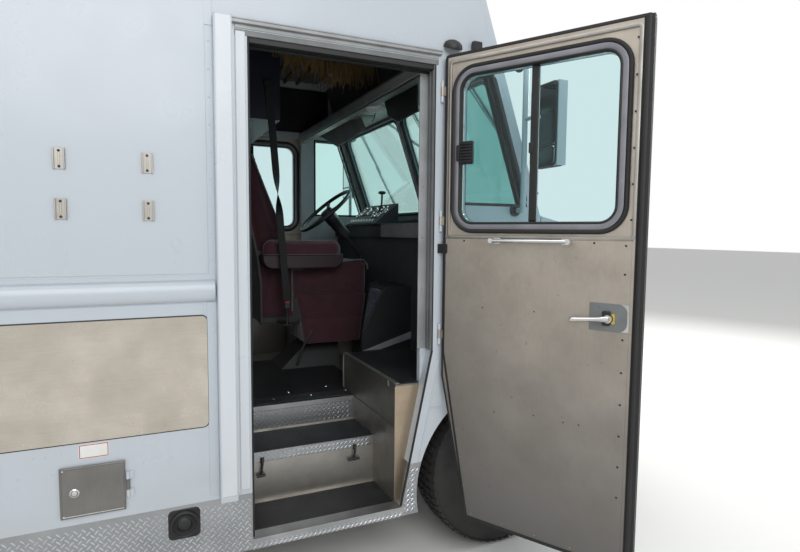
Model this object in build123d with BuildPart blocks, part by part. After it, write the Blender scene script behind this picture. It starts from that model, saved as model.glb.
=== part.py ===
# Walk-in food truck with a hinged cab door on each side, one step well to the kerb and an awning hatch.
# Millimetres. X points forwards from the front axle, Y to the truck's left, Z up from the ground.
# Every piece is written shifted so that the origin lies under the middle of the whole truck.
from build123d import *
import os

os.makedirs("parts", exist_ok=True)

# Body
WHEELBASE = 4520.0
BODY_HALF = 1200.0
WALL = 70.0
REAR_FACE = -6420.0
WALL_SPLIT = -1434.0
SKIRT_BOTTOM = 285.0
SKIRT_TOP = 535.5
RAIL_TOP = 650.0
FLOOR_TOP = 696.0
ROOF_TOP = 2950.0
ROOF_RADIUS = 120.0
ROOF_SKIN = 50.0
SHEET = 4.0
SKIRT_SHEET = 6.0
SEAM = 0.3
MOVING_GAP = 5.0

# Raked front
SCREEN_TOP_X = -117.0
SCREEN_TOP_Z = 2580.0
SCREEN_RAKE = 0.35
FRONT_DEPTH = 35.0
COWL_Z = 1740.0
FIREWALL_X = -150.0
PANE = 6.0
SCREEN_LOW = 1795.0
SCREEN_HIGH = 2425.0
SCREEN_POST_HALF = 35.0
SCREEN_SIDE = BODY_HALF - 115
SCREEN_CORNER = 50.0
SCREEN_REACH = 500.0
QUARTER_REAR = -350.0
QUARTER_LOW = 1790.0
QUARTER_HIGH = 2410.0
QUARTER_PILLAR = 20.0

# Nose
NOSE_REAR = 182.0
NOSE_FRONT = 850.0
NOSE_BOTTOM = 560.0
NOSE_SKIN = 12.0
NOSE_CORNER = 160.0
HOOD_SPLIT = 1350.0
HOOD_BREAK_X = 560.0
HOOD_BREAK_Z = 1650.0
NOSE_SHOULDER_Z = 1300.0
GRILLE_HALF = BODY_HALF - 680
GRILLE_LOW = 700.0
GRILLE_HIGH = 1180.0
GRILLE_BARS = 9
GRILLE_DEPTH = 30.0
LAMP_Y = BODY_HALF - 350
LAMP_Z = 930.0
LAMP_R = 95.0

# Wheels
TYRE_R = 420.0
TYRE_W = 240.0
RIM_R = 248.0
FRONT_TRACK_HALF = 1060.0
REAR_INNER_Y = 740.0
REAR_OUTER_Y = 1020.0
KINGPIN_Y = 900.0
ARCH_R = 520.0
ARCH_Z = 380.0
SPINDLE_R = 30.0
REAR_SPINDLE_R = 45.0
RUNNING = 0.8

# Side doors
HINGE_X = -413.0
HINGE_STANDOFF = 8.0
LEAF_START = 24.0
LEAF_WIDTH = 911.0
LEAF_THICK = 40.0
LEAF_TOP = 2453.0
LEAF_BOTTOM = 301.0
LEAF_CORNER = 15.0
LEAF_CUT_R = 165.0
LEAF_CUT_Z = 1075.0
DOOR_OPEN = 118.92
DOOR_LAP = 30.0
OPENING_REAR = -1300.0
OPENING_TOP = 2428.0
SILL_TOP = 329.0
JAMB_LIP = 34.0
JAMB_LIP_DEPTH = 30.0
BEAM_LOW_Z = 2380.0
POST_FRONT = -1366.0
POST_TOP = 2475.0
WINDOW_R = (106.0, 800.0)
WINDOW_Z = (1694.0, 2350.0)
WINDOW_CORNER = 65.0
GASKET = 50.0
GASKET_RAISE = 3.0
SEAL = 7.0
DIVIDER_R = (436.0, 469.0)
LATCH_R = (717.0, 868.0)
LATCH_Z = (1263.0, 1370.0)
LEVER_PIVOT = (792.0, 1312.0)
LEVER_END = (643.0, 1297.0)
BAR_R = (281.0, 627.0)
BAR_Z = 1612.0
BAR_RADIUS = 8.0
BAR_STANDOFF = 30.0
HINGE_HEIGHTS = (1160.0, 1700.0, 2300.0)
KNUCKLE_R = 7.0
HINGE_PIN_R = 3.0
KNUCKLE_HALF = 20.0
KNUCKLE_END = 28.0

# Steps and wheelhouses
STEP_FRONT = -603.0
STEP_1 = 317.0
STEP_1_EDGE = 842.0
STEP_2 = 562.5
STEP_2_EDGE = 539.0
DRIVER_STEP_EDGE = 800.0
WHEELHOUSE_TOP = 907.0
WHEELHOUSE_SIDE = 550.0
REAR_HOUSE_HALF = 560.0
REAR_HOUSE_TOP = 930.0
REAR_HOUSE_SIDE = 580.0
COVER_RIGHT = -350.0
COVER_LEFT = 185.0
COVER_REAR = -483.0
COVER_TOP = 1304.0
COVER_BREAK_X = -324.0
COVER_BREAK_Z = 1011.0
COVER_SHEET = 6.0
LEG_LINE = (-325.0, 212.0)

# Chassis
RAIL_Y = 430.0
RAIL_FLANGE = 76.0
RAIL_H = 140.0
RAIL_WEB = 8.0
RAIL_FRONT = 760.0
CROSS_MEMBERS = (600.0, -1040.0, -2200.0, -3300.0, -5300.0, -6320.0)
OUTRIGGERS = (-1900.0, -2500.0, -3500.0, -5500.0, -6200.0)
OUTRIGGER_H = 60.0

# Serving side
SERVE_REAR = -4750.0
SERVE_FRONT = -2550.0
SERVE_SILL = 1560.0
SERVE_HEAD = 2440.0
HATCH_THICK = 32.0
HATCH_LAP = 30.0
HATCH_STANDOFF = 12.0
SHELF_DEPTH = 300.0
SHELF_THICK = 20.0
SHELF_STANDOFF = 36.0
SHELF_Z = SERVE_SILL - 60

# Fuel door
FUEL_REAR = -2001.0
FUEL_FRONT = -1772.5
FUEL_LOW = 568.0
FUEL_HIGH = 762.0
FUEL_STANDOFF = 7.0
FUEL_NECK = (-1880.0, 665.0)
FUEL_NECK_R = 42.0
FUEL_LOCK = (-1953.0, 663.0)
FUEL_LOCK_R = 14.0

# Rear door
REAR_DOOR_HALF = 410.0
REAR_DOOR_LOW = 700.0
REAR_DOOR_HIGH = 2330.0
REAR_HINGE_Y = 432.0

# Driver's chair
CHAIR_Y = 450.0
CHAIR_HALF = 250.0
CUSHION_LOW = 1230.0
PEDESTAL_Y = 380.0

INNER_HALF = BODY_HALF - WALL
ROOF_SPRING = ROOF_TOP - ROOF_RADIUS
HINGE_Y = BODY_HALF + HINGE_STANDOFF
OPENING_FRONT = HINGE_X - DOOR_LAP
AXLE_Z = TYRE_R
RAIL_BOTTOM = RAIL_TOP - RAIL_H
LEAF_CUT_START = LEAF_CUT_Z - (LEAF_CUT_Z - LEAF_BOTTOM) * LEAF_START / LEAF_CUT_R

# Stored origin, under the middle of the whole truck with the entry door open
REAR_BUMPER_FACE = -6560.0
FRONT_BUMPER_FACE = 950.0
MIRROR_OUT = BODY_HALF + 300
OPEN_DOOR_OUT = BODY_HALF + 827
STORED = Location((-(REAR_BUMPER_FACE + FRONT_BUMPER_FACE) / 2, (OPEN_DOOR_OUT - MIRROR_OUT) / 2, 0))


def screen_x(z):
    """X of the raked front face at height z."""
    return SCREEN_TOP_X + SCREEN_RAKE * (SCREEN_TOP_Z - z)


def at_x(x):
    """Plane across the truck; its own axes are Y and Z, and it extrudes forwards."""
    return Plane.YZ.offset(x)


def at_y(y):
    """Plane along the truck; its own axes are X and Z, and it extrudes to the right."""
    return Plane.XZ.offset(-y)


def at_z(z):
    """Level plane; its own axes are X and Y, and it extrudes upwards."""
    return Plane.XY.offset(z)


def outline(plane, points, rounding=0.0, grow=0.0):
    """Closed face on a plane from its corner points, with rounded corners, grown or shrunk."""
    with BuildSketch(plane) as face:
        with BuildLine():
            Polyline(*points, close=True)
        make_face()
        if rounding:
            fillet(face.vertices(), rounding)
        if grow:
            offset(amount=grow, mode=Mode.REPLACE)
    return face.sketch


def panel(plane, low, high, rounding=0.0, grow=0.0):
    """Rectangular face on a plane between two opposite corners."""
    corners = ((low[0], low[1]), (high[0], low[1]), (high[0], high[1]), (low[0], high[1]))
    return outline(plane, corners, rounding, grow)


def block(x, y, z, mode=Mode.ADD):
    """Box between its low and high x, y and z."""
    with Locations(((x[0] + x[1]) / 2, (y[0] + y[1]) / 2, (z[0] + z[1]) / 2)):
        Box(x[1] - x[0], y[1] - y[0], z[1] - z[0], mode=mode)


def rod(start, end, radius, mode=Mode.ADD, faces=0):
    """Bar between two points, round or, where faces is given, with that many flat sides."""
    axis = Vector(*end) - Vector(*start)
    with BuildPart() as bar:
        with BuildSketch(Plane(origin=start, z_dir=axis)):
            if faces:
                RegularPolygon(radius, faces)
            else:
                Circle(radius)
        extrude(amount=axis.length)
    add(bar.part, mode=mode)


def body_section(plane, bottom, inset=0.0):
    """Cross-section of the body with its two rounded roof edges, moved in by inset."""
    half = BODY_HALF - inset
    top = ROOF_TOP - inset
    with BuildSketch(plane) as face:
        with Locations((0, (bottom + top) / 2)):
            Rectangle(2 * half, top - bottom)
        fillet(face.vertices().group_by(Axis.Y)[-1], ROOF_RADIUS - inset)
    return face.sketch


def fixed_hinge(standoff):
    """Outer knuckles, pin and base of a hinge; X runs into the leaf, Y outwards, Z along the pin."""
    with BuildPart() as hinge:
        for side in (-1, 1):
            middle = side * (KNUCKLE_HALF + 1 + KNUCKLE_END / 2)
            with Locations((0, 0, middle)):
                Cylinder(KNUCKLE_R, KNUCKLE_END)
            block((-20, 0), (-standoff, 0), (middle - KNUCKLE_END / 2, middle + KNUCKLE_END / 2))
        Cylinder(HINGE_PIN_R, 2 * KNUCKLE_HALF + 10)
    return hinge.part


def moving_hinge(reach, low, high):
    """Middle knuckle of a hinge and its tab to the leaf, in the same axes."""
    with BuildPart() as hinge:
        Cylinder(KNUCKLE_R, 2 * KNUCKLE_HALF)
        block((0, reach), (low, high), (-KNUCKLE_HALF, KNUCKLE_HALF))
        Cylinder(HINGE_PIN_R + RUNNING, 2 * KNUCKLE_HALF, mode=Mode.SUBTRACT)
    return hinge.part


def store(piece, name):
    """Label a piece and write it about the stored origin."""
    piece.part.label = name
    export_step(piece.part.moved(STORED), f"parts/{name}.step")


# Cab sides: door opening, quarter window and the proud door post
def side_hinges(side):
    """Hinge places down the front edge of a side door, side -1 to the kerb and 1 to the road."""
    places = []
    for height in HINGE_HEIGHTS:
        frame = Plane(origin=(HINGE_X, side * HINGE_Y, height), x_dir=(-1, 0, 0), z_dir=(0, 0, -side))
        places.append(frame.location)
    return places


OPENING_DIAGONAL = (OPENING_FRONT - (LEAF_CUT_Z - SKIRT_TOP) * LEAF_CUT_R / (LEAF_CUT_Z - LEAF_BOTTOM))
SILL_DIAGONAL = OPENING_FRONT - (LEAF_CUT_Z - SILL_TOP) * LEAF_CUT_R / (LEAF_CUT_Z - LEAF_BOTTOM)
SKIRT_DIAGONAL = OPENING_FRONT - (LEAF_CUT_Z - SKIRT_BOTTOM) * LEAF_CUT_R / (LEAF_CUT_Z - LEAF_BOTTOM)


def cab_side(side):
    """One side of the cab between the load space and the nose."""
    inner = INNER_HALF if side < 0 else BODY_HALF
    face = at_y(side * inner)
    front_low = screen_x(COWL_Z) - FRONT_DEPTH - SEAM
    front_high = screen_x(ROOF_SPRING) - FRONT_DEPTH - SEAM
    shell = (
        (WALL_SPLIT + SEAM, SKIRT_TOP),
        (NOSE_REAR - SEAM, SKIRT_TOP),
        (NOSE_REAR - SEAM, COWL_Z - SEAM),
        (front_low, COWL_Z - SEAM),
        (front_high, ROOF_SPRING - SEAM),
        (WALL_SPLIT + SEAM, ROOF_SPRING - SEAM),
    )
    doorway = (
        (OPENING_REAR, SKIRT_BOTTOM),
        (OPENING_REAR, OPENING_TOP),
        (OPENING_FRONT, OPENING_TOP),
        (OPENING_FRONT, LEAF_CUT_Z),
        (SKIRT_DIAGONAL, SKIRT_BOTTOM),
    )
    with BuildPart() as cab:
        extrude(outline(face, shell), amount=WALL)
        extrude(outline(face, doorway), amount=WALL, mode=Mode.SUBTRACT)
        extrude(outline(face, quarter_corners(), 30), amount=WALL, mode=Mode.SUBTRACT)
        with BuildSketch(face):
            with Locations((0, ARCH_Z)):
                Circle(ARCH_R)
        extrude(amount=WALL, mode=Mode.SUBTRACT)
        lip_y = sorted((side * INNER_HALF, side * (INNER_HALF - JAMB_LIP_DEPTH)))
        lip_z = (WHEELHOUSE_TOP + SEAM, BEAM_LOW_Z - SEAM)
        block((OPENING_FRONT - JAMB_LIP, OPENING_FRONT + SHEET), lip_y, lip_z)
        post_y = sorted((side * BODY_HALF, side * (HINGE_Y + LEAF_THICK)))
        block((WALL_SPLIT + SEAM, POST_FRONT), post_y, (SKIRT_TOP, POST_TOP))
        for place in side_hinges(side):
            add(fixed_hinge(HINGE_STANDOFF).moved(place))
    return cab


def quarter_corners():
    """Corners of the quarter window, whose front edge follows the raked screen."""
    margin = FRONT_DEPTH + QUARTER_PILLAR
    return (
        (QUARTER_REAR, QUARTER_LOW),
        (screen_x(QUARTER_LOW) - margin, QUARTER_LOW),
        (screen_x(QUARTER_HIGH) - margin, QUARTER_HIGH),
        (QUARTER_REAR, QUARTER_HIGH),
    )


cab_side_right = cab_side(-1)
store(cab_side_right, "cab_side_right")
cab_side_left = cab_side(1)
store(cab_side_left, "cab_side_left")

# Load space walls
WALL_REAR = REAR_FACE + WALL
HATCH_AXIS_Z = SERVE_HEAD + HATCH_LAP + 10
HATCH_HINGES = (SERVE_REAR + 250, (SERVE_REAR + SERVE_FRONT) / 2, SERVE_FRONT - 250)


def hatch_place(x):
    """Hinge place at the head of the serving hatch."""
    axis = (x, -(BODY_HALF + HATCH_STANDOFF), HATCH_AXIS_Z)
    return Plane(origin=axis, x_dir=(0, 0, -1), z_dir=(-1, 0, 0)).location


def shelf_place(x):
    """Hinge place behind the serving shelf."""
    axis = (x, -(BODY_HALF + SHELF_STANDOFF), SHELF_Z)
    return Plane(origin=axis, x_dir=(0, 0, -1), z_dir=(-1, 0, 0)).location


FUEL_PLACE = Plane(
    origin=(FUEL_FRONT, -(BODY_HALF + FUEL_STANDOFF), (FUEL_LOW + FUEL_HIGH) / 2),
    x_dir=(-1, 0, 0),
    z_dir=(0, 0, 1),
).location


def load_wall(side):
    """Flat insulated wall of the load space with the rear wheel arch cut out."""
    inner = INNER_HALF if side < 0 else BODY_HALF
    face = at_y(side * inner)
    with BuildPart() as wall:
        extrude(panel(face, (WALL_REAR, SKIRT_TOP), (WALL_SPLIT, ROOF_SPRING - SEAM)), amount=WALL)
        with BuildSketch(face):
            with Locations((-WHEELBASE, ARCH_Z)):
                Circle(ARCH_R)
        extrude(amount=WALL, mode=Mode.SUBTRACT)
    return wall


with BuildPart() as right_wall:
    add(load_wall(-1).part)
    extrude(
        panel(at_y(-INNER_HALF), (SERVE_REAR, SERVE_SILL), (SERVE_FRONT, SERVE_HEAD), 40),
        amount=WALL,
        mode=Mode.SUBTRACT,
    )
    block((FUEL_REAR + 12, FUEL_FRONT - 12), (-BODY_HALF, -BODY_HALF + 60), (FUEL_LOW + 12, FUEL_HIGH - 12),
          mode=Mode.SUBTRACT)
    neck_x, neck_z = FUEL_NECK
    rod((neck_x, -BODY_HALF + 60, neck_z), (neck_x, -BODY_HALF + 22, neck_z), FUEL_NECK_R)
    for hinge_x in HATCH_HINGES:
        add(fixed_hinge(HATCH_STANDOFF).moved(hatch_place(hinge_x)))
        add(fixed_hinge(SHELF_STANDOFF).moved(shelf_place(hinge_x)))
    add(fixed_hinge(FUEL_STANDOFF).moved(FUEL_PLACE))
store(right_wall, "right_wall")
left_wall = load_wall(1)
store(left_wall, "left_wall")

# Roof with its extractor fan, and the two ends
FAN_X = -3100.0
FAN_Y = 600.0
FAN_FACES = 24
FAN_CURB_HALF = 250.0
FAN_CURB_H = 60.0
FAN_DRUM_H = 150.0
FAN_DRUM_R = 190.0
FAN_HOOD_H = 50.0
FAN_HOOD_R = 240.0
with BuildPart() as roof:
    extrude(body_section(at_x(WALL_REAR + SEAM), ROOF_SPRING), amount=NOSE_REAR - WALL_REAR)
    with BuildSketch(at_x(WALL_REAR + SEAM)):
        with Locations((0, (ROOF_SPRING + ROOF_TOP - ROOF_SKIN) / 2)):
            Rectangle(2 * INNER_HALF, ROOF_TOP - ROOF_SKIN - ROOF_SPRING)
    extrude(amount=NOSE_REAR - WALL_REAR, mode=Mode.SUBTRACT)
    wedge = (
        (screen_x(ROOF_SPRING - 10) - FRONT_DEPTH - SEAM, ROOF_SPRING - 10),
        (screen_x(ROOF_TOP + 10) - FRONT_DEPTH - SEAM, ROOF_TOP + 10),
        (NOSE_FRONT, ROOF_TOP + 10),
        (NOSE_FRONT, ROOF_SPRING - 10),
    )
    extrude(outline(at_y(BODY_HALF + 10), wedge), amount=2 * BODY_HALF + 20, mode=Mode.SUBTRACT)
    fan_x = (FAN_X - FAN_CURB_HALF, FAN_X + FAN_CURB_HALF)
    fan_y = (FAN_Y - FAN_CURB_HALF, FAN_Y + FAN_CURB_HALF)
    block(fan_x, fan_y, (ROOF_TOP - 10, ROOF_TOP + FAN_CURB_H))
    drum_top = ROOF_TOP + FAN_DRUM_H
    rod((FAN_X, FAN_Y, ROOF_TOP + FAN_CURB_H), (FAN_X, FAN_Y, drum_top), FAN_DRUM_R, faces=FAN_FACES)
    rod((FAN_X, FAN_Y, drum_top), (FAN_X, FAN_Y, drum_top + FAN_HOOD_H), FAN_HOOD_R, faces=FAN_FACES)
store(roof, "roof")

SCREEN_PANES = ((SCREEN_POST_HALF, SCREEN_SIDE), (-SCREEN_SIDE, -SCREEN_POST_HALF))


def raked_slab(front, depth, low, high):
    """Slab following the raked front, set back by front, as thick as depth."""
    corners = (
        (screen_x(low) - front - depth, low),
        (screen_x(low) - front, low),
        (screen_x(high) - front, high),
        (screen_x(high) - front - depth, high),
    )
    return outline(at_y(BODY_HALF), corners)


def screen_openings(grow):
    """Level bars through both windscreen openings, grown or shrunk all round."""
    with BuildPart() as openings:
        for low_y, high_y in SCREEN_PANES:
            low, high = (low_y, SCREEN_LOW), (high_y, SCREEN_HIGH)
            face = panel(at_x(-SCREEN_REACH), low, high, SCREEN_CORNER, grow)
            extrude(face, amount=2 * SCREEN_REACH)
    return openings.part


with BuildPart() as front_upper:
    extrude(raked_slab(0, FRONT_DEPTH, COWL_Z, ROOF_TOP), amount=2 * BODY_HALF)
    extrude(body_section(at_x(-SCREEN_REACH), COWL_Z - 100), amount=2 * SCREEN_REACH, mode=Mode.INTERSECT)
    add(screen_openings(0), mode=Mode.SUBTRACT)
store(front_upper, "front_upper")

with BuildPart() as cab_glass:
    extrude(raked_slab((FRONT_DEPTH - PANE) / 2, PANE, SCREEN_LOW, SCREEN_HIGH), amount=2 * BODY_HALF)
    add(screen_openings(-SEAM), mode=Mode.INTERSECT)
    for side in (-1, 1):
        pane_plane = at_y(side * (INNER_HALF + WALL / 2) + PANE / 2)
        extrude(outline(pane_plane, quarter_corners(), 30, -SEAM), amount=PANE)
store(cab_glass, "cab_glass")

REAR_HINGES = (REAR_DOOR_LOW + 200, (REAR_DOOR_LOW + REAR_DOOR_HIGH) / 2, REAR_DOOR_HIGH - 200)


def rear_place(z):
    """Hinge place at the left edge of the rear door."""
    axis = (REAR_FACE - HINGE_STANDOFF, REAR_HINGE_Y, z)
    return Plane(origin=axis, x_dir=(0, -1, 0), z_dir=(0, 0, -1)).location


with BuildPart() as rear_wall:
    extrude(body_section(at_x(REAR_FACE), RAIL_TOP), amount=WALL - SEAM)
    with BuildSketch(at_x(REAR_FACE)):
        with Locations((0, (REAR_DOOR_LOW + REAR_DOOR_HIGH) / 2)):
            RectangleRounded(2 * (REAR_DOOR_HALF - 25), REAR_DOOR_HIGH - REAR_DOOR_LOW - 50, 30)
    extrude(amount=WALL, mode=Mode.SUBTRACT)
    for height in REAR_HINGES:
        add(fixed_hinge(HINGE_STANDOFF).moved(rear_place(height)))
store(rear_wall, "rear_wall")

# Floor with its wells cut out
with BuildPart() as floor:
    block((WALL_REAR, FIREWALL_X - 15), (-INNER_HALF + SEAM, INNER_HALF - SEAM), (RAIL_TOP, FLOOR_TOP))
    block((OPENING_REAR, STEP_FRONT), (-INNER_HALF, -(STEP_2_EDGE - SHEET)), (0, FLOOR_TOP), Mode.SUBTRACT)
    block((OPENING_REAR, STEP_FRONT), (DRIVER_STEP_EDGE - SHEET, INNER_HALF), (0, FLOOR_TOP), Mode.SUBTRACT)
    for side in (-1, 1):
        house_y = sorted((side * WHEELHOUSE_SIDE, side * INNER_HALF))
        block((STEP_FRONT, 0), house_y, (0, FLOOR_TOP), Mode.SUBTRACT)
        rear_y = sorted((side * REAR_HOUSE_SIDE, side * INNER_HALF))
        rear_x = (-WHEELBASE - REAR_HOUSE_HALF, -WHEELBASE + REAR_HOUSE_HALF)
        block(rear_x, rear_y, (0, FLOOR_TOP), Mode.SUBTRACT)
    engine_hole = (
        (COVER_REAR + 5, COVER_RIGHT + 5),
        (0, COVER_RIGHT + 5),
        (0, COVER_LEFT - 5),
        (FIREWALL_X - 10, COVER_LEFT - 5),
        (COVER_REAR + 8, LEG_LINE[0] - 8),
        (COVER_REAR + 5, LEG_LINE[0] - 8),
    )
    extrude(outline(at_z(0), engine_hole), amount=FLOOR_TOP, mode=Mode.SUBTRACT)
store(floor, "floor")

# Step wells, folded from sheet
with BuildPart() as step_wells:
    kerb_profile = (
        (-INNER_HALF + SEAM, STEP_1 - SHEET),
        (-STEP_1_EDGE + SHEET, STEP_1 - SHEET),
        (-STEP_1_EDGE + SHEET, STEP_2 - SHEET),
        (-STEP_2_EDGE + SHEET, STEP_2 - SHEET),
        (-STEP_2_EDGE + SHEET, FLOOR_TOP),
        (-STEP_2_EDGE, FLOOR_TOP),
        (-STEP_2_EDGE, STEP_2),
        (-STEP_1_EDGE, STEP_2),
        (-STEP_1_EDGE, STEP_1),
        (-INNER_HALF + SEAM, STEP_1),
    )
    extrude(outline(at_x(OPENING_REAR), kerb_profile), amount=STEP_FRONT - OPENING_REAR)
    road_profile = (
        (INNER_HALF - SEAM, STEP_1 - SHEET),
        (DRIVER_STEP_EDGE - SHEET, STEP_1 - SHEET),
        (DRIVER_STEP_EDGE - SHEET, FLOOR_TOP),
        (DRIVER_STEP_EDGE, FLOOR_TOP),
        (DRIVER_STEP_EDGE, STEP_1),
        (INNER_HALF - SEAM, STEP_1),
    )
    extrude(outline(at_x(OPENING_REAR), road_profile), amount=STEP_FRONT - OPENING_REAR)
    for edge_x in (OPENING_REAR, STEP_FRONT - SHEET):
        block((edge_x, edge_x + SHEET), (-INNER_HALF + SEAM, -STEP_1_EDGE), (STEP_1, FLOOR_TOP))
        block((edge_x, edge_x + SHEET), (-STEP_1_EDGE, -STEP_2_EDGE), (STEP_2, FLOOR_TOP))
        block((edge_x, edge_x + SHEET), (DRIVER_STEP_EDGE, INNER_HALF - SEAM), (STEP_1, FLOOR_TOP))
store(step_wells, "step_wells")

# Wheelhouses, open below
HOUSE_FRONT = FIREWALL_X - SEAM
with BuildPart() as wheelhouses:
    for side in (-1, 1):
        outer = side * (INNER_HALF - SEAM)
        house_y = sorted((side * (WHEELHOUSE_SIDE + SEAM), outer))
        block((STEP_FRONT + SEAM, HOUSE_FRONT), house_y, (WHEELHOUSE_TOP - SHEET, WHEELHOUSE_TOP))
        block((STEP_FRONT + SEAM, STEP_FRONT + SHEET), house_y, (SKIRT_BOTTOM, WHEELHOUSE_TOP))
        inner_y = sorted((side * (WHEELHOUSE_SIDE + SEAM), side * (WHEELHOUSE_SIDE + SHEET)))
        block((STEP_FRONT + SEAM, HOUSE_FRONT), inner_y, (RAIL_TOP, WHEELHOUSE_TOP))
        if side < 0:
            deck_y = (-WHEELHOUSE_SIDE - SHEET, COVER_RIGHT - SEAM)
            block((STEP_FRONT + SEAM, HOUSE_FRONT), deck_y, (WHEELHOUSE_TOP - SHEET, WHEELHOUSE_TOP))
            block((STEP_FRONT + SEAM, STEP_FRONT + SHEET), deck_y, (FLOOR_TOP + SEAM, WHEELHOUSE_TOP))
        cheek = at_y(max(outer, outer - side * SHEET))
        with BuildSketch(cheek):
            add(panel(Plane.XY, (STEP_FRONT + SEAM, SKIRT_BOTTOM), (HOUSE_FRONT, WHEELHOUSE_TOP)))
            with Locations((0, ARCH_Z)):
                Circle(ARCH_R, mode=Mode.SUBTRACT)
        extrude(amount=SHEET)
        rear_y = sorted((side * (REAR_HOUSE_SIDE + SEAM), outer))
        rear_x = (-WHEELBASE - REAR_HOUSE_HALF + SEAM, -WHEELBASE + REAR_HOUSE_HALF - SEAM)
        block(rear_x, rear_y, (REAR_HOUSE_TOP - SHEET, REAR_HOUSE_TOP))
        wall_y = sorted((side * (REAR_HOUSE_SIDE + SEAM), side * (REAR_HOUSE_SIDE + SHEET)))
        block(rear_x, wall_y, (RAIL_TOP, REAR_HOUSE_TOP))
        block((rear_x[0], rear_x[0] + SHEET), rear_y, (SKIRT_TOP, REAR_HOUSE_TOP))
        block((rear_x[1] - SHEET, rear_x[1]), rear_y, (SKIRT_TOP, REAR_HOUSE_TOP))
store(wheelhouses, "wheelhouses")

# Firewall, stepped forwards under the screen
COWL_FRONT = screen_x(COWL_Z) - FRONT_DEPTH
SHELF_LEVEL = 1640.0
with BuildPart() as firewall:
    firewall_y = (-INNER_HALF + SEAM, INNER_HALF - SEAM)
    block((FIREWALL_X, FIREWALL_X + 12), firewall_y, (RAIL_TOP, SHELF_LEVEL))
    block((FIREWALL_X, COWL_FRONT + 12), firewall_y, (SHELF_LEVEL, SHELF_LEVEL + 12))
    block((COWL_FRONT, COWL_FRONT + 12), firewall_y, (SHELF_LEVEL, COWL_Z - SEAM))
    block((FIREWALL_X, FIREWALL_X + 12), (COVER_RIGHT + 12, COVER_LEFT - 12), (RAIL_TOP, COVER_TOP - 14),
          Mode.SUBTRACT)
    for side in (-1, 1):
        house_y = sorted((side * (WHEELHOUSE_SIDE + 20), side * INNER_HALF))
        block((FIREWALL_X, FIREWALL_X + 12), house_y, (RAIL_TOP, WHEELHOUSE_TOP - 20), Mode.SUBTRACT)
store(firewall, "firewall")


# Nose: one thin moulding, split level into fixed fenders and a hood that tips forwards
def nose_form(inset, rear):
    """Solid form of the nose, its front corners rounded in plan, moved in by inset."""
    half = BODY_HALF - inset
    with BuildPart() as form:
        with BuildSketch(at_y(half)):
            with BuildLine():
                Polyline(
                    (NOSE_FRONT, NOSE_SHOULDER_Z),
                    (NOSE_FRONT, NOSE_BOTTOM),
                    (rear, NOSE_BOTTOM),
                    (rear, COWL_Z - MOVING_GAP),
                    (HOOD_BREAK_X, HOOD_BREAK_Z),
                )
                slope = (HOOD_BREAK_X - rear, HOOD_BREAK_Z - COWL_Z)
                TangentArc((HOOD_BREAK_X, HOOD_BREAK_Z), (NOSE_FRONT, NOSE_SHOULDER_Z), tangent=slope)
            make_face()
            if inset:
                offset(amount=-inset, mode=Mode.REPLACE)
        extrude(amount=2 * half)
        front = NOSE_FRONT - inset
        with BuildSketch(at_z(0)) as plan:
            with Locations(((rear + front) / 2 - NOSE_CORNER, 0)):
                Rectangle(front - rear + 2 * NOSE_CORNER, 2 * half)
            fillet(plan.vertices().group_by(Axis.X)[-1], NOSE_CORNER - inset)
        extrude(amount=COWL_Z, mode=Mode.INTERSECT)
    return form.part


def nose_half(low, high, rear):
    """Thin shell of the nose between two heights, open behind and below."""
    with BuildPart() as shell:
        add(nose_form(0, rear))
        hollow = nose_form(NOSE_SKIN, rear)
        add(hollow, mode=Mode.SUBTRACT)
        add(hollow.moved(Location((-2 * NOSE_SKIN, 0, 0))), mode=Mode.SUBTRACT)
        add(hollow.moved(Location((0, 0, -2 * NOSE_SKIN))), mode=Mode.SUBTRACT)
        wide = (-BODY_HALF - 1, BODY_HALF + 1)
        block((rear - 1, NOSE_FRONT + 1), wide, (low, high), Mode.INTERSECT)
    return shell


def hood_place(y):
    """Hinge place on the front of the nose at the hood split."""
    axis = (NOSE_FRONT + HINGE_STANDOFF, y, HOOD_SPLIT)
    return Plane(origin=axis, x_dir=(0, 0, 1), z_dir=(0, 1, 0)).location


HOOD_HINGES = (-600.0, 600.0)
HOOD_GAP = 6.0
HOOD_ROOT = 9.0

with BuildPart() as nose:
    add(nose_half(NOSE_BOTTOM, HOOD_SPLIT - HOOD_GAP / 2, NOSE_REAR).part)
    extrude(
        panel(at_x(NOSE_FRONT - 100), (-GRILLE_HALF, GRILLE_LOW), (GRILLE_HALF, GRILLE_HIGH), 30),
        amount=200,
        mode=Mode.SUBTRACT,
    )
    with BuildSketch(at_x(NOSE_FRONT - 100)):
        with Locations((-LAMP_Y, LAMP_Z), (LAMP_Y, LAMP_Z)):
            Circle(LAMP_R)
    extrude(amount=200, mode=Mode.SUBTRACT)
    with BuildSketch(at_y(BODY_HALF + 1)):
        with Locations((0, ARCH_Z)):
            Circle(ARCH_R)
    extrude(amount=2 * BODY_HALF + 2, mode=Mode.SUBTRACT)
    for hinge_y in HOOD_HINGES:
        add(fixed_hinge(HINGE_STANDOFF + HOOD_ROOT).moved(hood_place(hinge_y)))
store(nose, "nose")

with BuildPart() as hood:
    add(nose_half(HOOD_SPLIT + HOOD_GAP / 2, COWL_Z, NOSE_REAR + MOVING_GAP).part)
    for hinge_y in HOOD_HINGES:
        tab = moving_hinge(45, -HINGE_STANDOFF - HOOD_ROOT, -HINGE_STANDOFF + 3)
        add(tab.moved(hood_place(hinge_y)))
store(hood, "hood")

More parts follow.
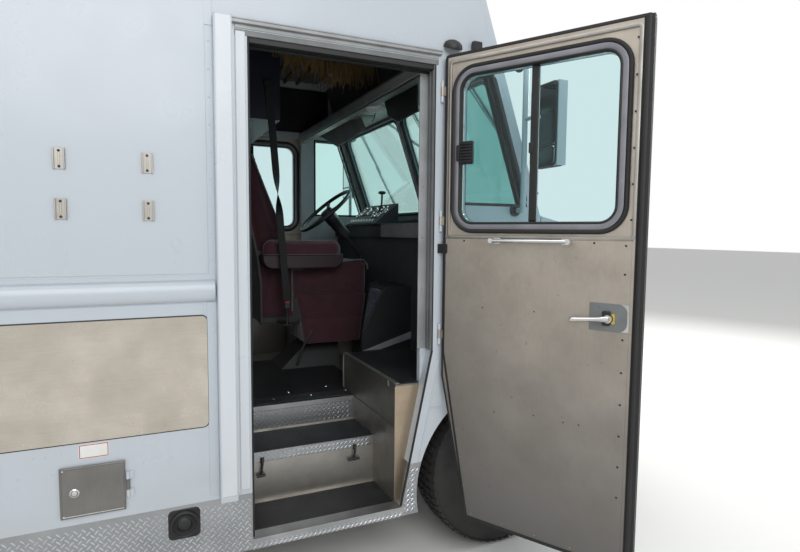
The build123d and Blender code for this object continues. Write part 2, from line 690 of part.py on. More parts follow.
with BuildPart() as grille:
    grille_back = NOSE_FRONT - NOSE_SKIN
    extrude(
        panel(at_x(grille_back), (-GRILLE_HALF, GRILLE_LOW), (GRILLE_HALF, GRILLE_HIGH), 30, -SEAM),
        amount=GRILLE_DEPTH,
    )
    pitch = (GRILLE_HIGH - GRILLE_LOW - 30) / GRILLE_BARS
    with BuildSketch(at_x(grille_back)):
        with Locations((0, (GRILLE_LOW + GRILLE_HIGH) / 2)):
            with GridLocations(0, pitch, 1, GRILLE_BARS):
                Rectangle(2 * GRILLE_HALF - 60, pitch * 0.5)
    extrude(amount=GRILLE_DEPTH, mode=Mode.SUBTRACT)
store(grille, "grille")

TAIL_LAMP_Y = BODY_HALF - 90
TAIL_LAMPS = ((TAIL_LAMP_Y, 1020.0), (TAIL_LAMP_Y, 860.0))
TAIL_LAMP_R = 55.0
MARKER_Y = BODY_HALF - 200
MARKER_LAMPS = (-MARKER_Y, -200.0, 0.0, 200.0, MARKER_Y)
MARKER_Z = 2700.0
LAMP_FACES = 32
SKIRT_LAMP_X = -1572.5
SKIRT_LAMP_Z = 459.0
SKIRT_LAMP_R = 57.0
with BuildPart() as lamps:
    for side in (-1, 1):
        headlamp_y = side * LAMP_Y
        rod((NOSE_FRONT - 60, headlamp_y, LAMP_Z), (NOSE_FRONT + 4, headlamp_y, LAMP_Z), LAMP_R - SEAM,
            faces=LAMP_FACES)
        for lamp_y, lamp_z in TAIL_LAMPS:
            lens, seat = (REAR_FACE - 25, side * lamp_y, lamp_z), (REAR_FACE - SEAM, side * lamp_y, lamp_z)
            rod(lens, seat, TAIL_LAMP_R, faces=LAMP_FACES)
        skirt_y = side * BODY_HALF
        seat = (SKIRT_LAMP_X, skirt_y + side * SEAM, SKIRT_LAMP_Z)
        lens = (SKIRT_LAMP_X, skirt_y + side * 20, SKIRT_LAMP_Z)
        rod(seat, lens, SKIRT_LAMP_R, faces=LAMP_FACES)
    for lamp_y in MARKER_LAMPS:
        marker_y = (lamp_y - 45, lamp_y + 45)
        marker_z = (MARKER_Z - 18, MARKER_Z + 18)
        face_x = screen_x(marker_z[0]) + SEAM
        block((face_x, face_x + 30), marker_y, marker_z)
        block((REAR_FACE - 25, REAR_FACE - SEAM), marker_y, marker_z)
store(lamps, "lamps")

# Bumpers on brackets from the rails, with tow eyes in front and a towing hook's bolt holes behind
TOW_X = 905.0
TOW_Z = 445.0
TOW_R = 16.0
HITCH_Y = 85.7
HITCH_RISE = 44.5
HITCH_Z = 560.0
HITCH_R = 5.6
BUMPER_HALF = BODY_HALF - 20
BUMPER_LOW = 480.0
BUMPER_SHEET = 6.0
FRONT_BUMPER_H = 210.0
REAR_BUMPER_H = 160.0
with BuildPart() as bumpers:
    bumper_y = (-BUMPER_HALF, BUMPER_HALF)
    inside_y = (-BUMPER_HALF + BUMPER_SHEET, BUMPER_HALF - BUMPER_SHEET)
    front_high = BUMPER_LOW + FRONT_BUMPER_H
    rear_high = BUMPER_LOW + REAR_BUMPER_H
    block((NOSE_FRONT + 20, FRONT_BUMPER_FACE), bumper_y, (BUMPER_LOW, front_high))
    block((NOSE_FRONT + 20, FRONT_BUMPER_FACE - BUMPER_SHEET), inside_y,
          (BUMPER_LOW + BUMPER_SHEET, front_high - BUMPER_SHEET), Mode.SUBTRACT)
    block((REAR_BUMPER_FACE, REAR_FACE - 5), bumper_y, (BUMPER_LOW, rear_high))
    block((REAR_BUMPER_FACE + BUMPER_SHEET, REAR_FACE - 5), inside_y,
          (BUMPER_LOW + BUMPER_SHEET, rear_high - BUMPER_SHEET), Mode.SUBTRACT)
    for side in (-1, 1):
        bracket_y = sorted((side * (RAIL_Y - RAIL_WEB - 30), side * (RAIL_Y - RAIL_WEB - SEAM)))
        block((RAIL_FRONT - 110, FRONT_BUMPER_FACE - 6), bracket_y, (RAIL_BOTTOM + 12, NOSE_BOTTOM - 5))
        block((REAR_BUMPER_FACE + 6, WALL_REAR - SEAM), bracket_y, (RAIL_BOTTOM + 12, RAIL_TOP - 20))
        block((TOW_X - 40, TOW_X + 40), bracket_y, (TOW_Z - 40, RAIL_BOTTOM + 30))
        rod((TOW_X, bracket_y[0] - 1, TOW_Z), (TOW_X, bracket_y[1] + 1, TOW_Z), TOW_R, Mode.SUBTRACT)
    block((REAR_BUMPER_FACE + 5, REAR_BUMPER_FACE + 12), (-80, 80), (HITCH_Z - 50, HITCH_Z + 50))
    for bolt_y in (-HITCH_Y / 2, HITCH_Y / 2):
        for bolt_z in (HITCH_Z - HITCH_RISE / 2, HITCH_Z + HITCH_RISE / 2):
            rod((REAR_BUMPER_FACE - 1, bolt_y, bolt_z), (REAR_BUMPER_FACE + 13, bolt_y, bolt_z), HITCH_R,
                Mode.SUBTRACT)
store(bumpers, "bumpers")

# Skirts of tread plate, with the sill beam under each side door
with BuildPart() as skirts:
    for side in (-1, 1):
        sheet = at_y(side * (BODY_HALF - SKIRT_SHEET) if side < 0 else BODY_HALF)
        skirt_top = SKIRT_TOP - SEAM
        gusset = (
            (SKIRT_DIAGONAL, SKIRT_BOTTOM),
            (OPENING_DIAGONAL, skirt_top),
            (0, skirt_top),
            (0, SKIRT_BOTTOM),
        )
        with BuildSketch(sheet):
            add(panel(Plane.XY, (WALL_REAR, SKIRT_BOTTOM), (OPENING_REAR, skirt_top)))
            add(outline(Plane.XY, gusset))
            with Locations((0, ARCH_Z), (-WHEELBASE, ARCH_Z)):
                Circle(ARCH_R, mode=Mode.SUBTRACT)
        extrude(amount=SKIRT_SHEET)
        flange_y = sorted((side * (INNER_HALF + 10), side * BODY_HALF))
        block((WALL_REAR, -WHEELBASE - ARCH_R), flange_y, (SKIRT_BOTTOM, SKIRT_BOTTOM + SKIRT_SHEET))
        block((-WHEELBASE + ARCH_R, OPENING_REAR), flange_y, (SKIRT_BOTTOM, SKIRT_BOTTOM + SKIRT_SHEET))
        sill_y = sorted((side * INNER_HALF, side * BODY_HALF))
        block((OPENING_REAR - 50, SILL_DIAGONAL), sill_y, (SKIRT_BOTTOM, SILL_TOP))
        for edge in (WALL_REAR, OPENING_REAR - SKIRT_SHEET):
            block((edge, edge + SKIRT_SHEET), sill_y, (SKIRT_BOTTOM, skirt_top))
store(skirts, "skirts")

# Half-round waist rails, the bright side panel and the four channel clips
RAIL_HIGH = SERVE_SILL - 115
RAIL_LOW = RAIL_HIGH - 83
RAIL_PROUD = 25.0
PANEL_FRONT = -1471.0
PANEL_REAR = -3900.0
PANEL_LOW = 850.5
PANEL_HIGH = RAIL_LOW - 56.3
CLIP_PLACES = ((-1963.0, 1897.0), (-1963.0, 1718.0), (-1676.0, 1897.0), (-1676.0, 1718.0))
with BuildPart() as side_trim:
    for side in (-1, 1):
        bulge = RAIL_PROUD * side
        with BuildSketch(at_x(WALL_REAR)):
            with BuildLine():
                Line((side * (BODY_HALF + SEAM), RAIL_LOW), (side * (BODY_HALF + SEAM), RAIL_HIGH))
                ThreePointArc(
                    (side * (BODY_HALF + SEAM), RAIL_HIGH),
                    (side * BODY_HALF + bulge, (RAIL_LOW + RAIL_HIGH) / 2),
                    (side * (BODY_HALF + SEAM), RAIL_LOW),
                )
            make_face()
        extrude(amount=WALL_SPLIT - WALL_REAR)
    extrude(
        panel(at_y(-BODY_HALF - SEAM), (PANEL_REAR, PANEL_LOW), (PANEL_FRONT, PANEL_HIGH), 25),
        amount=3,
    )
    for clip_x, clip_z in CLIP_PLACES:
        clip_y = (-BODY_HALF - 14, -BODY_HALF - SEAM)
        block((clip_x - 19, clip_x + 19), clip_y, (clip_z - 37.5, clip_z + 37.5))
        block((clip_x - 11, clip_x + 11), (-BODY_HALF - 15, -BODY_HALF - 4), (clip_z - 38, clip_z + 38),
              Mode.SUBTRACT)
store(side_trim, "side_trim")


# Side doors, drawn closed on one side and turned open about the hinge pin for the kerb
def door_face(plane_y, grow=0.0):
    """Outline of a side door leaf, whose lower front corner is cut off to clear the wheel arch."""
    corners = (
        (HINGE_X - LEAF_START, LEAF_TOP),
        (HINGE_X - LEAF_WIDTH, LEAF_TOP),
        (HINGE_X - LEAF_WIDTH, LEAF_BOTTOM),
        (HINGE_X - LEAF_CUT_R, LEAF_BOTTOM),
        (HINGE_X - LEAF_START, LEAF_CUT_START),
    )
    return outline(at_y(plane_y), corners, LEAF_CORNER, grow)


def window_face(plane_y, grow=0.0):
    """Outline of the window in a side door leaf."""
    low = (HINGE_X - WINDOW_R[1], WINDOW_Z[0])
    high = (HINGE_X - WINDOW_R[0], WINDOW_Z[1])
    return panel(at_y(plane_y), low, high, WINDOW_CORNER, grow)


def door_plane(side, depth, thick):
    """Y of the plane from which a layer of the leaf is extruded, depth out from the hinge axis."""
    return side * (HINGE_Y + depth) if side < 0 else HINGE_Y + depth + thick


def door_leaf(side):
    """Closed leaf with its window cut and its upper inside face set back in a frame."""
    with BuildPart() as leaf:
        extrude(door_face(door_plane(side, 0, LEAF_THICK)), amount=LEAF_THICK)
        extrude(window_face(door_plane(side, 0, LEAF_THICK)), amount=LEAF_THICK, mode=Mode.SUBTRACT)
        recess = panel(
            at_y(door_plane(side, 0, 5)),
            (HINGE_X - LEAF_WIDTH + 45, WINDOW_Z[0] - 62),
            (HINGE_X - 50, LEAF_TOP - 33),
        )
        extrude(recess, amount=5, mode=Mode.SUBTRACT)
        for place in side_hinges(side):
            add(moving_hinge(LEAF_START + 2, 0, 4).moved(place))
    return leaf


def door_rubber(side):
    """Edge seal, window gasket on both faces and the divider of the sliding panes."""
    with BuildPart() as rubber:
        extrude(door_face(door_plane(side, -3, 28), SEAL), amount=28)
        extrude(door_face(door_plane(side, -3, 28), SEAM / 3), amount=28, mode=Mode.SUBTRACT)
        with Locations(*side_hinges(side)):
            block((-5, LEAF_START), (-10, 30), (-KNUCKLE_HALF - 2, KNUCKLE_HALF + 2), Mode.SUBTRACT)
        for depth, thick in ((-GASKET_RAISE, GASKET_RAISE + 5 - SEAM / 3), (LEAF_THICK + SEAM / 3, 5)):
            extrude(window_face(door_plane(side, depth, thick), GASKET), amount=thick)
            extrude(window_face(door_plane(side, depth, thick)), amount=thick, mode=Mode.SUBTRACT)
        divider = panel(
            at_y(door_plane(side, 14, 12)),
            (HINGE_X - DIVIDER_R[1], WINDOW_Z[0] + SEAM),
            (HINGE_X - DIVIDER_R[0], WINDOW_Z[1] - SEAM),
        )
        extrude(divider, amount=12)
    return rubber


def door_glass(side):
    """Two sliding panes, each from the window's edge to the divider."""
    with BuildPart() as glass:
        extrude(window_face(door_plane(side, 17, PANE), -SEAM), amount=PANE)
        gap = sorted((door_plane(side, 0, 0), door_plane(side, LEAF_THICK, 0)))
        between = (HINGE_X - DIVIDER_R[1] - SEAM, HINGE_X - DIVIDER_R[0] + SEAM)
        block(between, gap, WINDOW_Z, Mode.SUBTRACT)
    return glass


def door_hardware(side):
    """Latch plate with its lever and the grab bar on the inside face."""
    with BuildPart() as hardware:
        base = side * HINGE_Y
        plate_y = sorted((base - side * SEAM, base - side * 4))
        block((HINGE_X - LATCH_R[1], HINGE_X - LATCH_R[0]), plate_y, LATCH_Z)
        pivot_x, pivot_z = HINGE_X - LEVER_PIVOT[0], LEVER_PIVOT[1]
        rod((pivot_x, base - side * 4, pivot_z), (pivot_x, base - side * 26, pivot_z), 2 * BAR_RADIUS)
        lever_end = (HINGE_X - LEVER_END[0], base - side * 24, LEVER_END[1])
        rod((pivot_x, base - side * 20, pivot_z), lever_end, BAR_RADIUS)
        bar_y = base - side * BAR_STANDOFF
        rod((HINGE_X - BAR_R[0], bar_y, BAR_Z), (HINGE_X - BAR_R[1], bar_y, BAR_Z), BAR_RADIUS)
        for foot in BAR_R:
            foot_x = HINGE_X - foot
            foot_end = (foot_x, bar_y - side * BAR_RADIUS, BAR_Z)
            rod((foot_x, base - side * SEAM, BAR_Z), foot_end, BAR_RADIUS + 3)
    return hardware


HINGE_LINE = Axis((HINGE_X, -HINGE_Y, 0), (0, 0, 1))
ENTRY_PIECES = (
    ("entry_door", door_leaf),
    ("entry_door_glass", door_glass),
    ("entry_door_trim", door_rubber),
    ("entry_door_hardware", door_hardware),
)
for piece_name, maker in ENTRY_PIECES:
    with BuildPart() as entry_piece:
        add(maker(-1).part.rotate(HINGE_LINE, DOOR_OPEN))
    store(entry_piece, piece_name)

with BuildPart() as driver_door:
    add(door_leaf(1).part)
    add(door_hardware(1).part.moved(Location((0, SEAM, 0))))
    add(door_rubber(1).part)
store(driver_door, "driver_door")
driver_door_glass = door_glass(1)
store(driver_door_glass, "driver_door_glass")

# Rear door
REAR_OUT = REAR_FACE - HINGE_STANDOFF
REAR_WINDOW = ((-280.0, 1600.0), (280.0, 2200.0), 60.0)
REAR_HANDLE_Y = (-370.0, -330.0)
REAR_HANDLE_Z = (1150.0, 1350.0)
with BuildPart() as rear_door:
    with BuildSketch(at_x(REAR_OUT - LEAF_THICK)):
        with Locations((0, (REAR_DOOR_LOW + REAR_DOOR_HIGH) / 2)):
            RectangleRounded(2 * REAR_DOOR_HALF, REAR_DOOR_HIGH - REAR_DOOR_LOW, 40)
    extrude(amount=LEAF_THICK)
    extrude(panel(at_x(REAR_OUT - LEAF_THICK), *REAR_WINDOW), amount=LEAF_THICK, mode=Mode.SUBTRACT)
    for height in REAR_HINGES:
        add(moving_hinge(REAR_HINGE_Y - REAR_DOOR_HALF + 2, 0, 4).moved(rear_place(height)))
    block((REAR_OUT - LEAF_THICK - 30, REAR_OUT - LEAF_THICK), REAR_HANDLE_Y, REAR_HANDLE_Z)
store(rear_door, "rear_door")
with BuildPart() as rear_door_glass:
    extrude(panel(at_x(REAR_OUT - LEAF_THICK / 2), *REAR_WINDOW, -SEAM), amount=PANE)
store(rear_door_glass, "rear_door_glass")

# Serving hatch, shelf and fuel door on the kerb side
with BuildPart() as serving_hatch:
    hatch_y = -(BODY_HALF + MOVING_GAP)
    extrude(
        panel(
            at_y(hatch_y),
            (SERVE_REAR - HATCH_LAP, SERVE_SILL - HATCH_LAP),
            (SERVE_FRONT + HATCH_LAP, SERVE_HEAD + HATCH_LAP - 8),
            15,
        ),
        amount=HATCH_THICK,
    )
    for hinge_x in HATCH_HINGES:
        add(moving_hinge(30, -4, 4).moved(hatch_place(hinge_x)))
store(serving_hatch, "serving_hatch")

with BuildPart() as serving_shelf:
    shelf_middle = -(BODY_HALF + SHELF_STANDOFF)
    shelf_y = (shelf_middle - SHELF_THICK / 2, shelf_middle + SHELF_THICK / 2 - 5)
    block((SERVE_REAR + 10, SERVE_FRONT - 10), shelf_y, (SHELF_Z - SHELF_DEPTH - 20, SHELF_Z - 20))
    for hinge_x in HATCH_HINGES:
        add(moving_hinge(30, -4, 4).moved(shelf_place(hinge_x)))
store(serving_shelf, "serving_shelf")

with BuildPart() as fuel_door:
    fuel_y = (-(BODY_HALF + FUEL_STANDOFF + 3), -(BODY_HALF + FUEL_STANDOFF - 1))
    block((FUEL_REAR, FUEL_FRONT - 9), fuel_y, (FUEL_LOW, FUEL_HIGH))
    add(moving_hinge(12, -1, 3).moved(FUEL_PLACE))
    lock_x, lock_z = FUEL_LOCK
    rod((lock_x, fuel_y[0] - 4, lock_z), (lock_x, fuel_y[0], lock_z), FUEL_LOCK_R)
store(fuel_door, "fuel_door")

# Chassis frame: two channel rails, cross-members, body outriggers and spring hangers
FRONT_SPRING_Y = RAIL_Y - RAIL_FLANGE / 2
REAR_SPRING_Y = 500.0
SPRING_W = 74.0
FRONT_SPRING_HALF = 560.0
REAR_SPRING_HALF = 600.0
FRONT_SPRING_LOW = 360.3
REAR_SPRING_LOW = 495.0
FRONT_SPRING_RISE = 65.0
REAR_SPRING_RISE = 40.0
FRONT_LEAVES = 4
REAR_LEAVES = 5
LEAF = 10.0
FRONT_EYE_Z = FRONT_SPRING_LOW + FRONT_SPRING_RISE + LEAF * (FRONT_LEAVES - 0.5)
REAR_EYE_Z = REAR_SPRING_LOW + REAR_SPRING_RISE + LEAF * (REAR_LEAVES - 0.5)
EYE_R = 18.0
with BuildPart() as chassis_frame:
    for side in (-1, 1):
        channel = (
            (side * RAIL_Y, RAIL_BOTTOM),
            (side * RAIL_Y, RAIL_TOP),
            (side * (RAIL_Y - RAIL_FLANGE), RAIL_TOP),
            (side * (RAIL_Y - RAIL_FLANGE), RAIL_TOP - RAIL_WEB),
            (side * (RAIL_Y - RAIL_WEB), RAIL_TOP - RAIL_WEB),
            (side * (RAIL_Y - RAIL_WEB), RAIL_BOTTOM + RAIL_WEB),
            (side * (RAIL_Y - RAIL_FLANGE), RAIL_BOTTOM + RAIL_WEB),
            (side * (RAIL_Y - RAIL_FLANGE), RAIL_BOTTOM),
        )
        extrude(outline(at_x(WALL_REAR), channel), amount=RAIL_FRONT - WALL_REAR)
        for place in OUTRIGGERS:
            arm = sorted((side * RAIL_Y, side * (INNER_HALF - 20)))
            block((place - 30, place + 30), arm, (RAIL_TOP - OUTRIGGER_H, RAIL_TOP - SEAM))
        for eye in (-FRONT_SPRING_HALF, FRONT_SPRING_HALF):
            for cheek in (-1, 1):
                middle = side * FRONT_SPRING_Y + cheek * (SPRING_W / 2 + 3 + SEAM)
                block((eye - 26, eye + 26), (middle - 3, middle + 3), (FRONT_EYE_Z - 24, RAIL_BOTTOM + 1))
        for eye in (-REAR_SPRING_HALF, REAR_SPRING_HALF):
            eye_x = eye - WHEELBASE
            inner = REAR_SPRING_Y - SPRING_W / 2 - SEAM
            cheek_y = sorted((side * RAIL_Y, side * inner))
            block((eye_x - 26, eye_x + 26), cheek_y, (REAR_EYE_Z - 24, REAR_EYE_Z + 30))
    for place in CROSS_MEMBERS:
        low = RAIL_BOTTOM + (50 if place < 0 else RAIL_WEB)
        high = RAIL_TOP - 20 if place < 0 else RAIL_BOTTOM + 40
        block((place - 30, place + 30), (-RAIL_Y + RAIL_WEB, RAIL_Y - RAIL_WEB), (low, high))
store(chassis_frame, "chassis_frame")


def leaf_pack(centre_x, centre_y, low, half, rise, leaves):
    """Stack of curved leaves; the main one carries an eye at each end."""
    with BuildPart() as pack:
        for number in range(leaves):
            share = 1 - number / leaves
            reach = half * share
            lift = rise * share * share
            base = low + LEAF * (leaves - 1 - number)
            with BuildSketch(at_y(centre_y + SPRING_W / 2)):
                with BuildLine():
                    under = ThreePointArc(
                        (centre_x - reach, base + lift), (centre_x, base), (centre_x + reach, base + lift)
                    )
                    over = ThreePointArc(
                        (centre_x - reach, base + lift + LEAF),
                        (centre_x, base + LEAF),
                        (centre_x + reach, base + lift + LEAF),
                    )
                    Line(under @ 0, over @ 0)
                    Line(under @ 1, over @ 1)
                make_face()
            extrude(amount=SPRING_W)
        for end in (-1, 1):
            eye = (centre_x + end * half, low + rise + LEAF * (leaves - 1) + LEAF / 2)
            rod((eye[0], centre_y - SPRING_W / 2, eye[1]), (eye[0], centre_y + SPRING_W / 2, eye[1]), EYE_R)
    return pack


with BuildPart() as leaf_springs:
    for side in (-1, 1):
        add(leaf_pack(0, side * FRONT_SPRING_Y, FRONT_SPRING_LOW, FRONT_SPRING_HALF,
                      FRONT_SPRING_RISE, FRONT_LEAVES).part)
        add(leaf_pack(-WHEELBASE, side * REAR_SPRING_Y, REAR_SPRING_LOW, REAR_SPRING_HALF,
                      REAR_SPRING_RISE, REAR_LEAVES).part)
store(leaf_springs, "leaf_springs")

# Front axle: dropped beam with a kingpin boss at each end
BEAM_LOW = 290.0
BEAM_REACH = 600.0
BEAM_HIGH = 360.0
BOSS_LOW = AXLE_Z - 35
BOSS_HIGH = AXLE_Z + 35
BOSS_R = 30.0
KINGPIN_R = 12.0
with BuildPart() as front_axle:
    beam = (
        (-KINGPIN_Y, BOSS_LOW),
        (-KINGPIN_Y + 50, BOSS_LOW),
        (-BEAM_REACH - 40, BEAM_LOW),
        (BEAM_REACH + 40, BEAM_LOW),
        (KINGPIN_Y - 50, BOSS_LOW),
        (KINGPIN_Y, BOSS_LOW),
        (KINGPIN_Y, BOSS_HIGH),
        (KINGPIN_Y - 60, BOSS_HIGH),
        (BEAM_REACH, BEAM_HIGH),
        (-BEAM_REACH, BEAM_HIGH),
        (-KINGPIN_Y + 60, BOSS_HIGH),
        (-KINGPIN_Y, BOSS_HIGH),
    )
    extrude(outline(at_x(-12), beam), amount=24)
    with Locations((0, 0, (BEAM_LOW + BEAM_HIGH) / 2)):
        Box(64, 2 * BEAM_REACH, BEAM_HIGH - BEAM_LOW)
    for offset_x in (-1, 1):
        web = sorted((offset_x * 9, offset_x * 40))
        block(web, (-BEAM_REACH, BEAM_REACH), (BEAM_LOW + 12, BEAM_HIGH - 12), Mode.SUBTRACT)
    for side in (-1, 1):
        rod((0, side * KINGPIN_Y, BOSS_LOW), (0, side * KINGPIN_Y, BOSS_HIGH), BOSS_R)
        rod((0, side * KINGPIN_Y, BOSS_LOW - 1), (0, side * KINGPIN_Y, BOSS_HIGH + 1), KINGPIN_R + RUNNING,
            Mode.SUBTRACT)
store(front_axle, "front_axle")

ARM_X = -165.0
ARM_Y = KINGPIN_Y
ARM_Z = 320.0
EAR_GAP = 5.0
EAR = 24.0


def knuckle(side):
    """Steering knuckle: two ears about the kingpin, wheel spindle and steering arm."""
    pin = side * KINGPIN_Y
    with BuildPart() as part:
        rod((0, pin, BOSS_LOW - EAR_GAP - EAR), (0, pin, BOSS_HIGH + EAR_GAP + EAR), KINGPIN_R)
        for low in (BOSS_LOW - EAR_GAP - EAR, BOSS_HIGH + EAR_GAP):
            rod((0, pin, low), (0, pin, low + EAR), BOSS_R - 2)
            ear_y = sorted((pin, pin + side * 60))
            block((-26, 26), ear_y, (low, low + EAR))
        plate_y = sorted((pin + side * (BOSS_R + EAR_GAP), pin + side * 60))
        block((-26, 26), plate_y, (BOSS_LOW - EAR_GAP - EAR, BOSS_HIGH + EAR_GAP + EAR))
        rod((0, pin + side * 60, AXLE_Z), (0, pin + side * 190, AXLE_Z), SPINDLE_R)
        arm = (
            (26, pin + side * 20),
            (26, pin + side * 60),
            (-26, pin + side * 60),
            (ARM_X - 18, side * (ARM_Y + 18)),
            (ARM_X - 18, side * (ARM_Y - 18)),
            (ARM_X + 18, side * (ARM_Y - 18)),
            (-26, pin),
        )
        extrude(outline(at_z(BOSS_LOW - EAR_GAP - EAR - 16), arm), amount=16)
        rod((ARM_X, side * ARM_Y, ARM_Z - 20), (ARM_X, side * ARM_Y, BOSS_LOW - EAR_GAP - EAR), 9)
    return part


knuckle_right = knuckle(-1)
store(knuckle_right, "knuckle_right")
knuckle_left = knuckle(1)
store(knuckle_left, "knuckle_left")

# Track rod: socket on the left arm's stud, open cup on the right one
with BuildPart() as tie_rod:
    rod((ARM_X, -ARM_Y, ARM_Z), (ARM_X, ARM_Y, ARM_Z), 14)
    for side in (-1, 1):
        rod((ARM_X, side * ARM_Y, ARM_Z - 16), (ARM_X, side * ARM_Y, ARM_Z + 16), 20)
        pin_low, pin_high = (ARM_X, side * ARM_Y, ARM_Z - 21), (ARM_X, side * ARM_Y, ARM_Z + 21)
        rod(pin_low, pin_high, 9 + RUNNING, Mode.SUBTRACT)
store(tie_rod, "tie_rod")


BEAD_W = 0.78 * TYRE_W
TREAD_W = 0.74 * TYRE_W
SHOULDER = 32.0
BULGE_R = 333.0
LIP_R = 234.0
WELL_R = 218.0
LIP_W = 176.0
WELL_W = 140.0
DISC = 14.0
HUB_W_R = 80.0
HAND_HOLES = 5
HAND_HOLE_R = 26.0
HAND_HOLE_AT = 175.0
WHEEL_FACES = 40
HALF_FACE = 180 / WHEEL_FACES


def wheel_drum(stations, mode=Mode.ADD):
    """Many-sided drum about the Y axis through stations of Y and radius to its flats."""
    with BuildPart() as drum:
        for station_y, radius in stations:
            with BuildSketch(at_y(station_y)):
                RegularPolygon(radius, WHEEL_FACES, major_radius=False, rotation=HALF_FACE)
        loft(ruled=True)
    add(drum.part, mode=mode)


def tyre_ring(centre_y):
    """Tyre with sloped shoulders and walls that bulge from their beads."""
    half = TYRE_W / 2
    with BuildPart() as ring:
        wheel_drum((
            (-half, TYRE_R - SHOULDER),
            (-TREAD_W / 2, TYRE_R),
            (TREAD_W / 2, TYRE_R),
            (half, TYRE_R - SHOULDER),
        ))
        wheel_drum(((-half, RIM_R), (half, RIM_R)), Mode.SUBTRACT)
        for side in (-1, 1):
            wheel_drum(((side * BEAD_W / 2, RIM_R), (side * half, BULGE_R)), Mode.SUBTRACT)
    return ring.part.moved(Location((0, centre_y, AXLE_Z)))


def rim_shell(disc_low, disc_high):
    """Rim with a flat disc between two Y places, open on both sides of it, with its hand holes."""
    with BuildPart() as shell:
        wheel_drum(((-LIP_W / 2, RIM_R - SEAM), (LIP_W / 2, RIM_R - SEAM)))
        for disc_y, side in ((disc_low, -1), (disc_high, 1)):
            well = ((disc_y, WELL_R), (side * WELL_W / 2, WELL_R), (side * LIP_W / 2, LIP_R))
            wheel_drum(well, Mode.SUBTRACT)
        with BuildSketch(at_y(disc_high)):
            with PolarLocations(HAND_HOLE_AT, HAND_HOLES):
                RegularPolygon(HAND_HOLE_R, 8)
        extrude(amount=disc_high - disc_low, mode=Mode.SUBTRACT)
    return shell.part


def front_rim(side):
    """Front rim with its hub on the knuckle's spindle."""
    disc = sorted((side * 32, side * (32 + DISC)))
    with BuildPart() as rim:
        add(rim_shell(disc[0], disc[1]))
        rod((0, -side * 90, 0), (0, side * 50, 0), HUB_W_R, faces=WHEEL_FACES // 2)
        rod((0, side * 40, 0), (0, side * 74, 0), HUB_W_R - 20, faces=WHEEL_FACES // 2)
        rod((0, -side * 91, 0), (0, side * 50, 0), SPINDLE_R + RUNNING, Mode.SUBTRACT)
    return rim.part.moved(Location((0, side * FRONT_TRACK_HALF, AXLE_Z)))


def rear_rims(side):
    """Two rear rims back to back on one hub."""
    outer_disc = sorted((-side * 60, -side * (60 - DISC)))
    inner_disc = sorted((side * 60, side * (60 - DISC)))
    middle = side * (REAR_INNER_Y + REAR_OUTER_Y) / 2
    with BuildPart() as rims:
        add(rim_shell(*outer_disc).moved(Location((0, side * REAR_OUTER_Y, 0))))
        add(rim_shell(*inner_disc).moved(Location((0, side * REAR_INNER_Y, 0))))
        rod((0, middle - side * 80, 0), (0, middle + side * 80, 0), HUB_W_R + 70, faces=WHEEL_FACES // 2)
        rod((0, middle - side * 80, 0), (0, middle + side * 190, 0), HUB_W_R + 15, faces=WHEEL_FACES // 2)
        bore = REAR_SPINDLE_R + RUNNING
        rod((0, middle - side * 120, 0), (0, middle + side * 120, 0), bore, Mode.SUBTRACT)
    return rims.part.moved(Location((-WHEELBASE, 0, AXLE_Z)))


WHEEL_SIDES = (("right", -1), ("left", 1))
for side_name, side in WHEEL_SIDES:
    with BuildPart() as front_tyre:
        add(tyre_ring(side * FRONT_TRACK_HALF))
    store(front_tyre, f"front_tyre_{side_name}")
    with BuildPart() as front_wheel:
        add(front_rim(side))
    store(front_wheel, f"front_rim_{side_name}")
    with BuildPart() as rear_tyres:
        for centre in (REAR_INNER_Y, REAR_OUTER_Y):
            add(tyre_ring(side * centre).moved(Location((-WHEELBASE, 0, 0))))
    store(rear_tyres, f"rear_tyres_{side_name}")
    with BuildPart() as rear_wheel:
        add(rear_rims(side))
    store(rear_wheel, f"rear_rims_{side_name}")

# Rear axle with its differential, and the shaft to the gearbox
DIFF_R = 165.0
DIFF_HALF = 140.0
SHAFT_FACES = 16
SHAFT_R = 42.0
GEARBOX_REAR = -950.0
AXLE_TUBE_R = 55.0
PINION_X = -WHEELBASE + 250
SHAFT_RISE = 8.0
GEARBOX_Z = 500.0
GEARBOX_R = 120.0
DIFF_STATIONS = ((-DIFF_HALF, 90.0), (-DIFF_HALF / 2, DIFF_R), (DIFF_HALF / 2, DIFF_R), (DIFF_HALF, 90.0))
with BuildPart() as driveline:
    spindle_end = (REAR_INNER_Y + REAR_OUTER_Y) / 2 + 100
    rod((-WHEELBASE, -600, AXLE_Z), (-WHEELBASE, 600, AXLE_Z), AXLE_TUBE_R, faces=SHAFT_FACES)
    rod((-WHEELBASE, -spindle_end, AXLE_Z), (-WHEELBASE, spindle_end, AXLE_Z), REAR_SPINDLE_R)
    for station_y, radius in DIFF_STATIONS:
        with BuildSketch(Plane(origin=(-WHEELBASE, station_y, AXLE_Z), x_dir=(1, 0, 0), z_dir=(0, -1, 0))):
            RegularPolygon(radius, SHAFT_FACES)
    loft(ruled=True)
    pinion = (PINION_X, 0, AXLE_Z + SHAFT_RISE)
    rod((-WHEELBASE, 0, AXLE_Z), pinion, AXLE_TUBE_R + 5, faces=SHAFT_FACES)
    shaft_rear = (PINION_X - 10, 0, AXLE_Z + SHAFT_RISE)
    rod(shaft_rear, (GEARBOX_REAR - 1.2, 0, GEARBOX_Z), SHAFT_R, faces=SHAFT_FACES)
    for side in (-1, 1):
        seat_y = (side * REAR_SPRING_Y - SPRING_W / 2, side * REAR_SPRING_Y + SPRING_W / 2)
        block((-WHEELBASE - 50, -WHEELBASE + 50), seat_y, (AXLE_Z, REAR_SPRING_LOW - SEAM))
store(driveline, "driveline")

